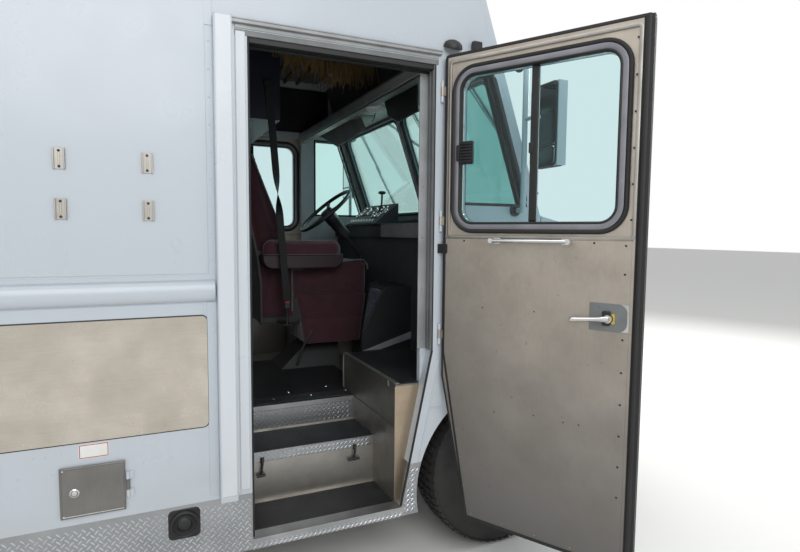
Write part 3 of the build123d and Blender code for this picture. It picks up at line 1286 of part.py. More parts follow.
# Engine as one block with its gearbox, mounts and radiator
ENGINE_REAR = -160.0
ENGINE_FRONT = 470.0
ENGINE_SIDES = (-250.0, 165.0)
ENGINE_HEIGHTS = (480.0, 1150.0)
RADIATOR_X = (640.0, 700.0)
RADIATOR_HALF = 345.0
RADIATOR_TOP = 1220.0
HOSE_Z = (900.0, 960.0)
with BuildPart() as engine_block:
    block((ENGINE_REAR, ENGINE_FRONT), ENGINE_SIDES, ENGINE_HEIGHTS)
    rod((ENGINE_REAR - 1, 0, GEARBOX_Z), (GEARBOX_REAR, 0, GEARBOX_Z), GEARBOX_R, faces=SHAFT_FACES)
    for side in (-1, 1):
        arm = sorted((side * 160, side * (RAIL_Y - RAIL_FLANGE - SEAM)))
        block((-60, 60), arm, (RAIL_BOTTOM, RAIL_BOTTOM + 50))
    block(RADIATOR_X, (-RADIATOR_HALF, RADIATOR_HALF), (RAIL_BOTTOM + 45, RADIATOR_TOP))
    block((RADIATOR_X[0] - 40, RADIATOR_X[1]), (-100, 100), (RAIL_BOTTOM + 40 + SEAM, RAIL_BOTTOM + 60))
    block((ENGINE_FRONT - 10, RADIATOR_X[0] + 10), (-30, 30), HOSE_Z)
store(engine_block, "engine_block")

# Fuel tank in straps, and the exhaust down the other side
TANK_FRONT = -1750.0
TANK_REAR = -2650.0
TANK_OUT = BODY_HALF - 120
TANK_W = 520.0
TANK_LOW = 300.0
STRAP = 4.0
with BuildPart() as fuel_tank:
    tank_top = RAIL_TOP - OUTRIGGER_H - SEAM
    low = (-TANK_OUT, TANK_LOW)
    high = (-TANK_OUT + TANK_W, tank_top - STRAP)
    extrude(panel(at_x(TANK_REAR), low, high, 60), amount=TANK_FRONT - TANK_REAR)
    for place in OUTRIGGERS[:2]:
        strap_low = (low[0] - STRAP, low[1] - STRAP)
        strap_high = (high[0] + STRAP, tank_top)
        extrude(panel(at_x(place - 20), strap_low, strap_high, 30), amount=40)
store(fuel_tank, "fuel_tank")

PIPE_R = 32.0
PIPE_FACES = 12
SILENCER_R = 100.0
PIPE_Y = 620.0
PIPE_RUN = (
    (-200.0, 200.0, 440.0),
    (-1100.0, 260.0, 440.0),
    (-1600.0, PIPE_Y, 470.0),
    (-2400.0, PIPE_Y, 470.0),
)
TAIL_X = -WHEELBASE + ARCH_R + 170
TAIL_RUN = (
    (-3300.0, PIPE_Y, 470.0),
    (TAIL_X + 180, PIPE_Y + 20, 460.0),
    (TAIL_X, 900.0, 390.0),
    (TAIL_X, BODY_HALF - 80, 370.0),
)
with BuildPart() as exhaust:
    rod(TAIL_RUN[0], PIPE_RUN[-1], SILENCER_R, faces=2 * PIPE_FACES)
    for run in (PIPE_RUN, TAIL_RUN):
        with BuildLine() as path:
            FilletPolyline(*run, radius=90)
        with BuildSketch(Plane(origin=path.line @ 0, z_dir=path.line % 0)):
            RegularPolygon(PIPE_R, PIPE_FACES)
        sweep(path=path.line)
    rod(PIPE_RUN[0], (-200, 200, 479.7), PIPE_R, faces=PIPE_FACES)
    for place in (-2700.0, -3150.0):
        block((place - 15, place + 15), (PIPE_Y - 30, PIPE_Y + 30), (560, RAIL_TOP - SEAM))
store(exhaust, "exhaust")

# Engine cover between the front places, its rear left corner cut away for the driver's legs
LEG_ROOM = (
    (COVER_REAR - 100, LEG_LINE[0]),
    (COVER_REAR + 3, LEG_LINE[0]),
    (FIREWALL_X, LEG_LINE[1]),
    (FIREWALL_X, COVER_LEFT + 200),
    (COVER_REAR - 100, COVER_LEFT + 200),
)


def cover_form(inside):
    """Solid form of the cover, or of the room left inside its sheet."""
    foot = FLOOR_TOP - (1 if inside else 0)
    front = FIREWALL_X + (1 if inside else -SEAM)
    profile = (
        (front, foot),
        (COVER_REAR + inside, foot),
        (COVER_REAR + inside, COVER_BREAK_Z - inside / 3),
        (COVER_BREAK_X + inside * 2 / 3, COVER_TOP - inside),
        (front, COVER_TOP - inside),
    )
    with BuildPart() as form:
        extrude(outline(at_y(COVER_LEFT - inside), profile), amount=COVER_LEFT - COVER_RIGHT - 2 * inside)
        with BuildSketch(at_z(0)):
            add(outline(Plane.XY, LEG_ROOM, 0.0, inside))
        extrude(amount=ROOF_TOP, mode=Mode.SUBTRACT)
    return form


with BuildPart() as engine_cover:
    add(cover_form(0).part)
    add(cover_form(COVER_SHEET).part, mode=Mode.SUBTRACT)
store(engine_cover, "engine_cover")

# Dashboard: grey fascia, top shelf, instrument hood and the steering column
DASH_X = -172.0
DASH_TOP = 1700.0
FASCIA_LOW = 1608.0
WHEEL_TILT = 41.0
WHEEL_CENTRE = (-470.0, CHAIR_Y, 1799.0)
WHEEL_R = 222.0
COLUMN_LENGTH = 400.0
RIM_TUBE_R = 14.0
RIM_FACES = 6
HUB_R = 48.0
HUB_HIGH = 36.0
WHEEL_NORMAL = Vector(-1, 0, 0).rotate(Axis.Y, 90 - WHEEL_TILT)
WHEEL_PLANE = Plane(origin=WHEEL_CENTRE, x_dir=(0, 1, 0), z_dir=WHEEL_NORMAL)
with BuildPart() as dashboard:
    dash_y = (-INNER_HALF + SEAM, INNER_HALF - SEAM)
    block((DASH_X, DASH_X + 18), dash_y, (FASCIA_LOW, DASH_TOP))
    block((DASH_X, COWL_FRONT - SEAM), dash_y, (DASH_TOP - 18, DASH_TOP))
    block((DASH_X, FIREWALL_X - SEAM), dash_y, (FASCIA_LOW, FASCIA_LOW + 10))
    cluster = (
        (-214, DASH_TOP),
        (-38, DASH_TOP),
        (-38, 1851),
        (-46, 1851),
        (-214, 1710),
    )
    extrude(outline(at_y(700), cluster), amount=600)
    column_axis = WHEEL_PLANE.z_dir
    top = WHEEL_PLANE.origin - column_axis * (HUB_HIGH / 2 + 10 + SEAM)
    foot = top - column_axis * COLUMN_LENGTH
    rod(tuple(top), tuple(foot), 15)
    rod(tuple(top - column_axis * 20), tuple(top - column_axis * 220), 42)
    rod(tuple(foot), (FIREWALL_X - 60, CHAIR_Y, WHEELHOUSE_TOP + 60), 14)
    pedal_z = (FLOOR_TOP + SEAM, WHEELHOUSE_TOP + 90)
    block((FIREWALL_X - 95, FIREWALL_X - SEAM), (CHAIR_Y - 50, CHAIR_Y + 50), pedal_z)
store(dashboard, "dashboard")


# Steering wheel with three spokes
def wheel_form():
    """Steering wheel lying level about the origin."""
    with BuildPart() as form:
        with BuildSketch(Plane.XZ):
            with Locations((WHEEL_R, 0)):
                RegularPolygon(RIM_TUBE_R, RIM_FACES)
        revolve(axis=Axis.Z)
        for turn in (90, 210, 330):
            with Locations(Location((0, 0, 0), (0, 0, turn))):
                with Locations((WHEEL_R / 2, 0, -6)):
                    Box(WHEEL_R, 26, 10)
        with Locations((0, 0, -10)):
            Cylinder(HUB_R, HUB_HIGH)
    return form.part


with BuildPart() as steering_wheel:
    add(wheel_form().moved(WHEEL_PLANE.location))
store(steering_wheel, "steering_wheel")

# Driver's chair on its pedestal, with the pivot pin of its armrest and the belt's stalk
ARM_PIVOT = (-800.0, 1500.0)
ARM_PIN_R = 8.0
BELT_TOP = (-975.0, -14.0, 2550.0)
BELT_FOOT = (-850.0, 60.0, 1180.0)
BELT_W = 48.0
BELT_THICK = 3.0
PAN_LOW = 1030.0
PAN_TOP = 1065.7
BACK_PLATE = 12.0
SKIRT_WALL = 25.0
SKIRT_LOW = 860.0
back_line = ((-985.0, PAN_LOW), (-985.0, 1300.0), (-1010.0, 1500.0), (-1085.0, 1860.0))
with BuildPart() as seat_base:
    with BuildSketch(at_z(FLOOR_TOP + SEAM)):
        with Locations((-650, PEDESTAL_Y)):
            Rectangle(420, 330)
    with BuildSketch(at_z(SKIRT_LOW)):
        with Locations((-530, PEDESTAL_Y + 55)):
            Rectangle(230, 220)
    loft()
    block((-645, -415), (PEDESTAL_Y - 55, PEDESTAL_Y + 165), (SKIRT_LOW - 1, PAN_LOW + 1))
    block((-990, -300), (CHAIR_Y - 210, CHAIR_Y + 210), (PAN_LOW, PAN_TOP))
    block((-775, -300), (CHAIR_Y - 210, CHAIR_Y + 210), (PAN_LOW, CUSHION_LOW - SEAM))
    front = [(x - SEAM, z) for x, z in back_line]
    rear = [(x - SEAM - BACK_PLATE, z) for x, z in reversed(back_line)]
    bracket_low = CHAIR_Y - CHAIR_HALF - 6.5
    extrude(outline(at_y(CHAIR_Y + 180), front + rear), amount=CHAIR_Y + 180 - bracket_low)
    arm_x, arm_z = ARM_PIVOT
    block((-1015, arm_x + 15), (bracket_low, bracket_low + 6), (arm_z - 15, arm_z + 15))
    rod((arm_x, bracket_low + 5, arm_z), (arm_x, bracket_low - 40, arm_z), ARM_PIN_R)
    block((-880, -820), (BELT_FOOT[1] + 2, CHAIR_Y - 200), (PAN_LOW, PAN_LOW + 6))
    rod((-850, BELT_FOOT[1] + 12, PAN_LOW + 3), (-850, BELT_FOOT[1] + 12, BELT_FOOT[2] + 15), 10)
store(seat_base, "seat_base")

with BuildPart() as seat_pads:
    cushion = (
        (-775, CUSHION_LOW),
        (-238, CUSHION_LOW),
        (-227, 1411),
        (-268, 1452),
        (-420, 1440),
        (-775, 1390),
    )
    extrude(outline(at_y(CHAIR_Y + CHAIR_HALF), cushion), amount=2 * CHAIR_HALF)
    skirt = (
        (-745, CUSHION_LOW + 1),
        (-688, SKIRT_LOW + 2),
        (-275, SKIRT_LOW - 8),
        (-238, CUSHION_LOW + 1),
    )
    extrude(outline(at_y(CHAIR_Y + CHAIR_HALF), skirt), amount=2 * CHAIR_HALF)
    hollow = (
        (-900, CUSHION_LOW),
        (-900, SKIRT_LOW - 20),
        (-300, SKIRT_LOW - 20),
        (-263, CUSHION_LOW),
    )
    inside = CHAIR_HALF - SKIRT_WALL
    extrude(outline(at_y(CHAIR_Y + inside), hollow), amount=2 * inside, mode=Mode.SUBTRACT)
    over_house = (WHEELHOUSE_SIDE - MOVING_GAP, CHAIR_Y + CHAIR_HALF + MOVING_GAP)
    house_z = (SKIRT_LOW - 20, WHEELHOUSE_TOP + MOVING_GAP)
    block((STEP_FRONT - MOVING_GAP, -200), over_house, house_z, mode=Mode.SUBTRACT)
    back = (
        (-782, PAN_TOP + SEAM),
        (-780, 1370),
        (-812, 1560),
        (-887, 1757),
        (-1000, 2040),
        (-1040, 2150),
        (-1085, 2165),
        (-1130, 2130),
        (-1085, 1860),
        (-1010, 1500),
        (-985, 1300),
        (-985, PAN_TOP + SEAM),
    )
    extrude(outline(at_y(CHAIR_Y + CHAIR_HALF - 10), back), amount=2 * CHAIR_HALF - 20)
store(seat_pads, "seat_pads")

with BuildPart() as armrest:
    arm_y = CHAIR_Y - CHAIR_HALF - 8
    extrude(panel(at_y(arm_y), (-1000, 1400), (-450, 1600), 40), amount=95)
    arm_x, arm_z = ARM_PIVOT
    rod((arm_x, arm_y + 1, arm_z), (arm_x, arm_y - 40, arm_z), ARM_PIN_R + RUNNING, Mode.SUBTRACT)
store(armrest, "armrest")

# Belt, overhead locker, straw valance and the cab's small fittings
LOCKER_FRONT = -900.0
LOCKER_REAR = -1290.0
LOCKER_LOW = 2335.0
with BuildPart() as overhead_locker:
    block((LOCKER_REAR, LOCKER_FRONT), (0, INNER_HALF - SEAM), (LOCKER_LOW, ROOF_TOP - ROOF_SKIN - SEAM))
    lug_face = BELT_TOP[1] + BELT_THICK / 2 + SEAM
    block((BELT_TOP[0] - 25, BELT_TOP[0] + 25), (lug_face, 0), (BELT_TOP[2] - 2, BELT_TOP[2] + 30))
store(overhead_locker, "overhead_locker")

with BuildPart() as seat_belt:
    belt_run = Vector(*BELT_FOOT) - Vector(*BELT_TOP)
    with BuildSketch(Plane(origin=BELT_TOP, x_dir=(1, 0, 0.09), z_dir=belt_run)):
        Rectangle(BELT_W, BELT_THICK)
    extrude(amount=belt_run.length)
store(seat_belt, "seat_belt")

STRAW_X = (-880.0, -500.0)
STRAW_Y = (-40.0, -10.0)
STRAW_LOW = 2610.0
with BuildPart() as thatch_valance:
    block(STRAW_X, STRAW_Y, (STRAW_LOW, ROOF_TOP - ROOF_SKIN - SEAM))
store(thatch_valance, "thatch_valance")

BEAM_X = -465.0
BEAM_HALF = 25.0
BEAM_HIGH_Z = 2446.0
LAMP_TRAY = 150.0
CANOPY_FRONT = -120.0
with BuildPart() as cab_fittings:
    across = (-INNER_HALF + SEAM, INNER_HALF - SEAM)
    block((BEAM_X - BEAM_HALF, BEAM_X + BEAM_HALF), across, (BEAM_LOW_Z, BEAM_HIGH_Z))
    tray_rear = BEAM_X + BEAM_HALF
    block((tray_rear, tray_rear + LAMP_TRAY), (-70, 70), (BEAM_LOW_Z + 20, BEAM_LOW_Z + 32))
    block((BEAM_X - BEAM_HALF, CANOPY_FRONT), across, (BEAM_HIGH_Z, BEAM_HIGH_Z + 12))
store(cab_fittings, "cab_fittings")

# Mirrors on tube frames, one on each side of the cab
MIRROR_X = 15.0
MIRROR_POST_OUT = 70.0
MIRROR_POST_Z = (1746.0, 2484.0)
MIRROR_FEET = (1760.0, 2470.0)
MIRROR_ARM_Z = 2200.0
MIRROR_Z = (1960.0, 2340.0)
TUBE_FACES = 12
with BuildPart() as mirrors:
    for side in (-1, 1):
        skin = side * (BODY_HALF + SEAM)
        post_y = side * (BODY_HALF + MIRROR_POST_OUT)
        for height in MIRROR_FEET:
            rod((MIRROR_X, skin, height), (MIRROR_X, post_y, height), 12, faces=TUBE_FACES)
        post_low, post_high = MIRROR_POST_Z
        rod((MIRROR_X, post_y, post_low), (MIRROR_X, post_y, post_high), 14, faces=TUBE_FACES)
        arm_end = (MIRROR_X, side * (BODY_HALF + 160), MIRROR_ARM_Z)
        rod((MIRROR_X, post_y, MIRROR_ARM_Z), arm_end, 10, faces=TUBE_FACES)
        mirror_y = sorted((side * (BODY_HALF + 110), side * MIRROR_OUT))
        block((MIRROR_X + 10, MIRROR_X + 60), mirror_y, MIRROR_Z)
store(mirrors, "mirrors")

# Kitchen: cooking line and cupboards to the road side, open counter with shelves under the serving window
KITCHEN_REAR = -WHEELBASE + REAR_HOUSE_HALF + 60
KITCHEN_FRONT = -2300.0
LINE_TOP = 1580.0
LINE_FACE = 430.0
CUPBOARD_LOW = 2250.0
CUPBOARD_FACE = 530.0
COUNTER_FACE = 630.0
COUNTER_TOP = SERVE_SILL - 30
COUNTER_THICK = 30.0
LOWER_SHELF = 1000.0
UPRIGHT = 30.0
with BuildPart() as kitchen_units:
    line_x = (KITCHEN_REAR, KITCHEN_FRONT)
    wall_y = INNER_HALF - SEAM
    block(line_x, (LINE_FACE, wall_y), (FLOOR_TOP, LINE_TOP))
    block(line_x, (CUPBOARD_FACE, wall_y), (CUPBOARD_LOW, ROOF_TOP - ROOF_SKIN - SEAM))
    block(line_x, (-wall_y, -COUNTER_FACE), (COUNTER_TOP - COUNTER_THICK, COUNTER_TOP))
    middle = (KITCHEN_REAR + KITCHEN_FRONT) / 2
    upright_z = (FLOOR_TOP, COUNTER_TOP - COUNTER_THICK)
    for upright in (KITCHEN_REAR, middle - UPRIGHT / 2, KITCHEN_FRONT - UPRIGHT):
        block((upright, upright + UPRIGHT), (-wall_y, -COUNTER_FACE), upright_z)
    block(line_x, (-wall_y, -COUNTER_FACE), (LOWER_SHELF, LOWER_SHELF + 20))
store(kitchen_units, "kitchen_units")
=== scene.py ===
import math
import random

import bmesh
import bpy
from mathutils import Matrix, Vector
from mathutils.noise import noise


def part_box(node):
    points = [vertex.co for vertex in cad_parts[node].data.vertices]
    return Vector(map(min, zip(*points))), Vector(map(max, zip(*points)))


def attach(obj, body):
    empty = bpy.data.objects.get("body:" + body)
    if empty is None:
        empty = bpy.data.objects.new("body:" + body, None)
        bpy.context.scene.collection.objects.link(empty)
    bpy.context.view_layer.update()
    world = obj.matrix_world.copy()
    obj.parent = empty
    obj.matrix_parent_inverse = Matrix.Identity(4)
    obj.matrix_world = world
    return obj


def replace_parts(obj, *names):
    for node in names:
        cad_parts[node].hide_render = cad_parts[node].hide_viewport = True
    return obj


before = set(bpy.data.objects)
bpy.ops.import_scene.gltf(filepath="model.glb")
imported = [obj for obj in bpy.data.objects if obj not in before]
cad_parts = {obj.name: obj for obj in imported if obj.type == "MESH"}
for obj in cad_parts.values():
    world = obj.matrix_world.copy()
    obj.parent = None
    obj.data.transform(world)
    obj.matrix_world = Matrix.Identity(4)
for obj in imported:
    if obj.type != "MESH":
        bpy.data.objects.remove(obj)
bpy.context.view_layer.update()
scene = bpy.context.scene
scene.view_settings.view_transform = "Standard"

# Camera, standing by the kerb and turned towards the open door, level with a person's eyes.
# The place and the lens come from the photograph's own straight lines.
eye = Vector((1.1085, -3.2765, 1.644))
turn = math.radians(24.722)
dip = math.radians(4.454)
lean = math.radians(0.501)
ahead = Vector((math.sin(turn) * math.cos(dip), math.cos(turn) * math.cos(dip), -math.sin(dip)))
across = Vector((math.cos(turn), -math.sin(turn), 0))
upward = across.cross(ahead)
camera_data = bpy.data.cameras.new("camera")
camera_data.sensor_width = 36
camera_data.lens = 25.08
camera_data.clip_start = 0.05
camera = bpy.data.objects.new("camera", camera_data)
scene.collection.objects.link(camera)
camera_right = math.cos(lean) * across + math.sin(lean) * upward
camera_up = math.cos(lean) * upward - math.sin(lean) * across
turned = Matrix((camera_right, camera_up, -ahead)).transposed().to_4x4()
camera.matrix_world = Matrix.Translation(eye) @ turned
scene.camera = camera


# Studio: a pale matt floor under a plain white surround, with one broad soft lamp on the kerb side.
# The surround is seen white by the camera, by metal and through glass, and lights the truck less.
def linear(hex_colour):
    """Linear colour, with full alpha, from an sRGB hex string."""
    parts = [int(hex_colour[i:i + 2], 16) / 255 for i in (0, 2, 4)]
    return [p / 12.92 if p <= 0.04045 else ((p + 0.055) / 1.055) ** 2.4 for p in parts] + [1.0]


def add_node(tree, kind, settings=None, links=None):
    """Adds a node, with its settings and sockets by name and the sockets that feed it."""
    made = tree.nodes.new(kind)
    for key, value in (settings or {}).items():
        if isinstance(key, int) or key in made.inputs:
            made.inputs[key].default_value = value
        else:
            setattr(made, key, value)
    for key, source in (links or {}).items():
        tree.links.new(source, made.inputs[key])
    return made


surround = bpy.data.worlds.new("surround")
surround.use_nodes = True
scene.world = surround
tree = surround.node_tree
tree.nodes.clear()
rays = add_node(tree, "ShaderNodeLightPath")
direct = add_node(tree, "ShaderNodeMath", {"operation": "MAXIMUM"},
                  {0: rays.outputs["Is Camera Ray"], 1: rays.outputs["Is Transmission Ray"]})
seen = add_node(tree, "ShaderNodeMath", {"operation": "MAXIMUM"},
                {0: direct.outputs[0], 1: rays.outputs["Is Glossy Ray"]})
lighting = add_node(tree, "ShaderNodeBackground", {"Color": linear("F4F7FA"), "Strength": 0.62})
backdrop = add_node(tree, "ShaderNodeBackground", {"Color": linear("FFFFFF"), "Strength": 1.0})
chosen = add_node(tree, "ShaderNodeMixShader", None,
                  {"Fac": seen.outputs[0], 1: lighting.outputs[0], 2: backdrop.outputs[0]})
add_node(tree, "ShaderNodeOutputWorld", None, {"Surface": chosen.outputs[0]})

FLOOR_REACH = 60.0
floor_mesh = bpy.data.meshes.new("studio_floor")
corners = [(-FLOOR_REACH, -FLOOR_REACH, 0), (FLOOR_REACH, -FLOOR_REACH, 0), (FLOOR_REACH, FLOOR_REACH, 0),
           (-FLOOR_REACH, FLOOR_REACH, 0)]
floor_mesh.from_pydata(corners, [], [(0, 1, 2, 3)])
studio_floor = bpy.data.objects.new("studio_floor", floor_mesh)
scene.collection.objects.link(studio_floor)


floor_paint = bpy.data.materials.new("matt_floor_paint")
floor_paint.use_nodes = True
floor_shader = floor_paint.node_tree.nodes["Principled BSDF"]
floor_shader.inputs["Base Color"].default_value = linear("E9E8E4")
floor_shader.inputs["Roughness"].default_value = 0.9
floor_mesh.materials.append(floor_paint)

LAMPS = (
    ("kerb_softbox", (0.5, -9.0, 6.5), (1.0, 0.0, 1.0), 7.0, 420.0),
    ("front_softbox", (9.0, 2.5, 5.5), (2.0, 0.0, 1.4), 5.0, 380.0),
    ("overhead_softbox", (0.0, 1.0, 9.5), (0.0, 0.0, 1.0), 8.0, 300.0),
)
for lamp_name, lamp_place, lamp_aim, lamp_width, lamp_power in LAMPS:
    lamp_data = bpy.data.lights.new(lamp_name, "AREA")
    lamp_data.shape = "DISK"
    lamp_data.size = lamp_width
    lamp_data.energy = lamp_power
    lamp = bpy.data.objects.new(lamp_name, lamp_data)
    scene.collection.objects.link(lamp)
    aim = Vector(lamp_aim) - Vector(lamp_place)
    lamp.matrix_world = Matrix.Translation(lamp_place) @ aim.to_track_quat("-Z", "Y").to_matrix().to_4x4()




# Painted bodywork: aluminium sheet sprayed with white two-pack enamel, riveted to a hidden frame.
# The enamel is fairly glossy, with a fine orange peel, dust that thickens low down and faint run marks.
def finish(name):
    """New node material with its shader, and a texture place in the model's own metres."""
    made = bpy.data.materials.new(name)
    made.use_nodes = True
    tree = made.node_tree
    shader = tree.nodes["Principled BSDF"]
    place = add_node(tree, "ShaderNodeTexCoord").outputs["Object"]
    return made, tree, shader, place


def grain(tree, place, spacing_mm, detail=3.0, stretch=(1, 1, 1), rough=0.5):
    """Noise whose patches are about spacing_mm across, drawn out along an axis by stretch."""
    scale = 1000.0 / spacing_mm
    sized = add_node(tree, "ShaderNodeMapping", {"Scale": [scale / s for s in stretch]}, {"Vector": place})
    made = add_node(tree, "ShaderNodeTexNoise", {"Scale": 1.0, "Detail": detail, "Roughness": rough},
                    {"Vector": sized.outputs[0]})
    return made.outputs["Fac"]


def fade(tree, value, low, high, first=0.0, last=1.0):
    """Turns a value that goes from low to high into one from first to last, held at the ends."""
    made = add_node(tree, "ShaderNodeMapRange",
                    {"From Min": low, "From Max": high, "To Min": first, "To Max": last}, {"Value": value})
    return made.outputs["Result"]


def blend_colours(tree, share, under, over):
    """Mix of two colours, each a hex string or a socket, by a share."""
    made = add_node(tree, "ShaderNodeMix", {"data_type": "RGBA"})
    tree.links.new(share, made.inputs["Factor"])
    for socket, colour in ((made.inputs[6], under), (made.inputs[7], over)):
        if isinstance(colour, str):
            socket.default_value = linear(colour)
        else:
            tree.links.new(colour, socket)
    return made.outputs[2]


def relief(tree, shader, height, depth_mm, strength=1.0):
    """Bump of a given depth in millimetres on a shader."""
    made = add_node(tree, "ShaderNodeBump", {"Distance": depth_mm / 1000.0, "Strength": strength},
                    {"Height": height})
    tree.links.new(made.outputs[0], shader.inputs["Normal"])


def height_of(tree, place):
    """Height above the ground at a texture place."""
    return add_node(tree, "ShaderNodeSeparateXYZ", None, {0: place}).outputs["Z"]


def math_node(tree, work, first, second):
    """One sum on two values, each a number or a socket."""
    made = add_node(tree, "ShaderNodeMath", {"operation": work})
    for number, value in enumerate((first, second)):
        if isinstance(value, (int, float)):
            made.inputs[number].default_value = value
        else:
            tree.links.new(value, made.inputs[number])
    return made.outputs[0]


def enamel(name, colour, dust="A79F92"):
    """Sprayed enamel with dust that gathers towards the ground."""
    made, tree, shader, place = finish(name)
    low_down = fade(tree, height_of(tree, place), 0.25, 1.1, 0.34, 0.03)
    clouds = fade(tree, grain(tree, place, 220, 5.0), 0.35, 0.75)
    runs = fade(tree, grain(tree, place, 30, 3.0, (1, 1, 22)), 0.45, 0.8)
    dirt = math_node(tree, "MULTIPLY", low_down, math_node(tree, "MAXIMUM", clouds, runs))
    specks = fade(tree, grain(tree, place, 14, 2.0), 0.72, 0.8, 0.0, 0.10)
    share = math_node(tree, "ADD", dirt, math_node(tree, "MULTIPLY", specks, low_down))
    tree.links.new(blend_colours(tree, share, colour, dust), shader.inputs["Base Color"])
    tree.links.new(fade(tree, clouds, 0.0, 1.0, 0.27, 0.42), shader.inputs["Roughness"])
    shader.inputs["Coat Weight"].default_value = 0.25
    shader.inputs["Coat Roughness"].default_value = 0.12
    relief(tree, shader, grain(tree, place, 5, 2.0), 0.12, 0.35)
    return made


def coat_node(name, material):
    """Gives a CAD node's faces one material."""
    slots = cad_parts[name].material_slots
    for slot in slots:
        slot.material = material


white_enamel = enamel("white_enamel_on_aluminium", "BDC5CD")
for name in ("right_wall", "left_wall", "cab_side_right", "cab_side_left", "front_upper", "roof",
             "rear_wall", "rear_door", "nose", "hood", "mirrors"):
    coat_node(name, white_enamel)




# Bare metals: stainless panels with a rolled brush line, mill-finish aluminium sheet and chromed fittings.
# A brush line runs along the truck; handling leaves soft blotches and scuffs in it.
def brushed(name, colour, deep, along=(60, 1, 1), roughness=(0.22, 0.36)):
    """Brushed sheet metal, its lines drawn out along one axis."""
    made, tree, shader, place = finish(name)
    lines = grain(tree, place, 1.6, 2.0, along)
    blotches = fade(tree, grain(tree, place, 160, 4.0), 0.3, 0.7)
    share = math_node(tree, "ADD", math_node(tree, "MULTIPLY", blotches, 0.45),
                      math_node(tree, "MULTIPLY", lines, 0.35))
    tree.links.new(blend_colours(tree, share, colour, deep), shader.inputs["Base Color"])
    shader.inputs["Metallic"].default_value = 1.0
    tree.links.new(fade(tree, blotches, 0.0, 1.0, roughness[0], roughness[1]), shader.inputs["Roughness"])
    relief(tree, shader, lines, 0.05, 0.5)
    return made


stainless = brushed("brushed_stainless_sheet", "CDC6BC", "9E968B")
mill_aluminium = brushed("mill_aluminium_sheet", "B9B6B0", "8A8781", (25, 1, 25), (0.38, 0.55))
tread_aluminium = brushed("rolled_tread_aluminium", "B4B6B8", "83868A", (1, 1, 1), (0.30, 0.45))
chrome = brushed("bright_chrome_plate", "D8D8D8", "BEBEBE", (1, 1, 1), (0.06, 0.12))


def flat_coat(name, colour, deep, roughness, spacing_mm=4.0, depth_mm=0.15, metallic=0.0):
    """Plain paint, casting, rubber or plastic with its own fine grain."""
    made, tree, shader, place = finish(name)
    fine = grain(tree, place, spacing_mm, 3.0)
    broad = fade(tree, grain(tree, place, 120, 4.0), 0.3, 0.7)
    tree.links.new(blend_colours(tree, broad, colour, deep), shader.inputs["Base Color"])
    shader.inputs["Metallic"].default_value = metallic
    shader.inputs["Roughness"].default_value = roughness
    relief(tree, shader, fine, depth_mm, 0.6)
    return made


chassis_black = flat_coat("black_chassis_paint", "1B1B1D", "2C2A28", 0.5)
cast_iron = flat_coat("raw_cast_iron", "3B3936", "2A2827", 0.65, 2.5, 0.3, 0.6)
seal_rubber = flat_coat("extruded_rubber", "141415", "1D1D1E", 0.55, 2.0, 0.05)
tyre_rubber = flat_coat("vulcanised_tyre_rubber", "1A1A1B", "2B2A28", 0.78, 2.0, 0.1)
moulded_black = flat_coat("moulded_black_abs", "17181A", "1F2022", 0.48, 1.2, 0.12)
fascia_grey = flat_coat("grey_wrinkle_paint", "3E4043", "34363A", 0.62, 1.5, 0.25)
rim_white = enamel("white_wheel_enamel", "CBCED0")
# Painted shade: the overhead locker's very dark navy stands in for the shaded cab wall above the far door.
navy_painted_shade = flat_coat("locker_navy_painted_shade", "151A27", "1B2130", 0.42)
maroon_cloth = flat_coat("maroon_woven_cloth", "4A1F28", "3A1820", 0.85, 2.0, 0.4)
webbing = flat_coat("woven_polyester_webbing", "101013", "17171B", 0.7, 1.5, 0.3)
palm_straw = flat_coat("dried_palm_straw", "8A7145", "5B472A", 0.85, 3.0, 0.3)
lamp_lens = flat_coat("moulded_lamp_lens", "7E1A14", "6A130F", 0.15, 6.0, 0.3)

COATS = (
    (stainless, ("side_trim", "fuel_door", "serving_shelf", "exhaust", "kitchen_units")),
    (mill_aluminium, ("entry_door", "driver_door", "serving_hatch", "step_wells", "wheelhouses", "floor",
                      "cab_fittings", "fuel_tank")),
    (tread_aluminium, ("skirts",)),
    (chrome, ("entry_door_hardware",)),
    (chassis_black, ("chassis_frame", "bumpers")),
    (cast_iron, ("front_axle", "driveline", "leaf_springs", "engine_block", "knuckle_left", "knuckle_right",
                 "tie_rod")),
    (seal_rubber, ("entry_door_trim",)),
    (tyre_rubber, ("front_tyre_left", "front_tyre_right", "rear_tyres_left", "rear_tyres_right")),
    (rim_white, ("front_rim_left", "front_rim_right", "rear_rims_left", "rear_rims_right")),
    (moulded_black, ("engine_cover", "steering_wheel", "seat_base", "grille")),
    (fascia_grey, ("firewall", "dashboard")),
    (navy_painted_shade, ("overhead_locker",)),
    (maroon_cloth, ("seat_pads", "armrest")),
    (webbing, ("seat_belt",)),
    (palm_straw, ("thatch_valance",)),
    (lamp_lens, ("lamps",)),
)
for material, names in COATS:
    for name in names:
        coat_node(name, material)


# Glass: toughened panes, faintly teal in the cab's own windows and nearly clear in the doors.
# Each pane is a flat sheet that lets light straight through and mirrors more of it at a low angle.
def pane(name, tint, shine=0.5):
    """Thin flat glass of one tint."""
    made = bpy.data.materials.new(name)
    made.use_nodes = True
    tree = made.node_tree
    tree.nodes.clear()
    through = add_node(tree, "ShaderNodeBsdfTransparent", {"Color": linear(tint)})
    surface = add_node(tree, "ShaderNodeBsdfPrincipled",
                       {"Base Color": linear("FFFFFF"), "Metallic": 1.0, "Roughness": 0.02})
    edge_on = add_node(tree, "ShaderNodeFresnel", {"IOR": 1.45})
    share = math_node(tree, "MULTIPLY", edge_on.outputs[0], shine)
    mixed = add_node(tree, "ShaderNodeMixShader", None,
                     {"Fac": share, 1: through.outputs[0], 2: surface.outputs[0]})
    add_node(tree, "ShaderNodeOutputMaterial", None, {"Surface": mixed.outputs[0]})
    return made


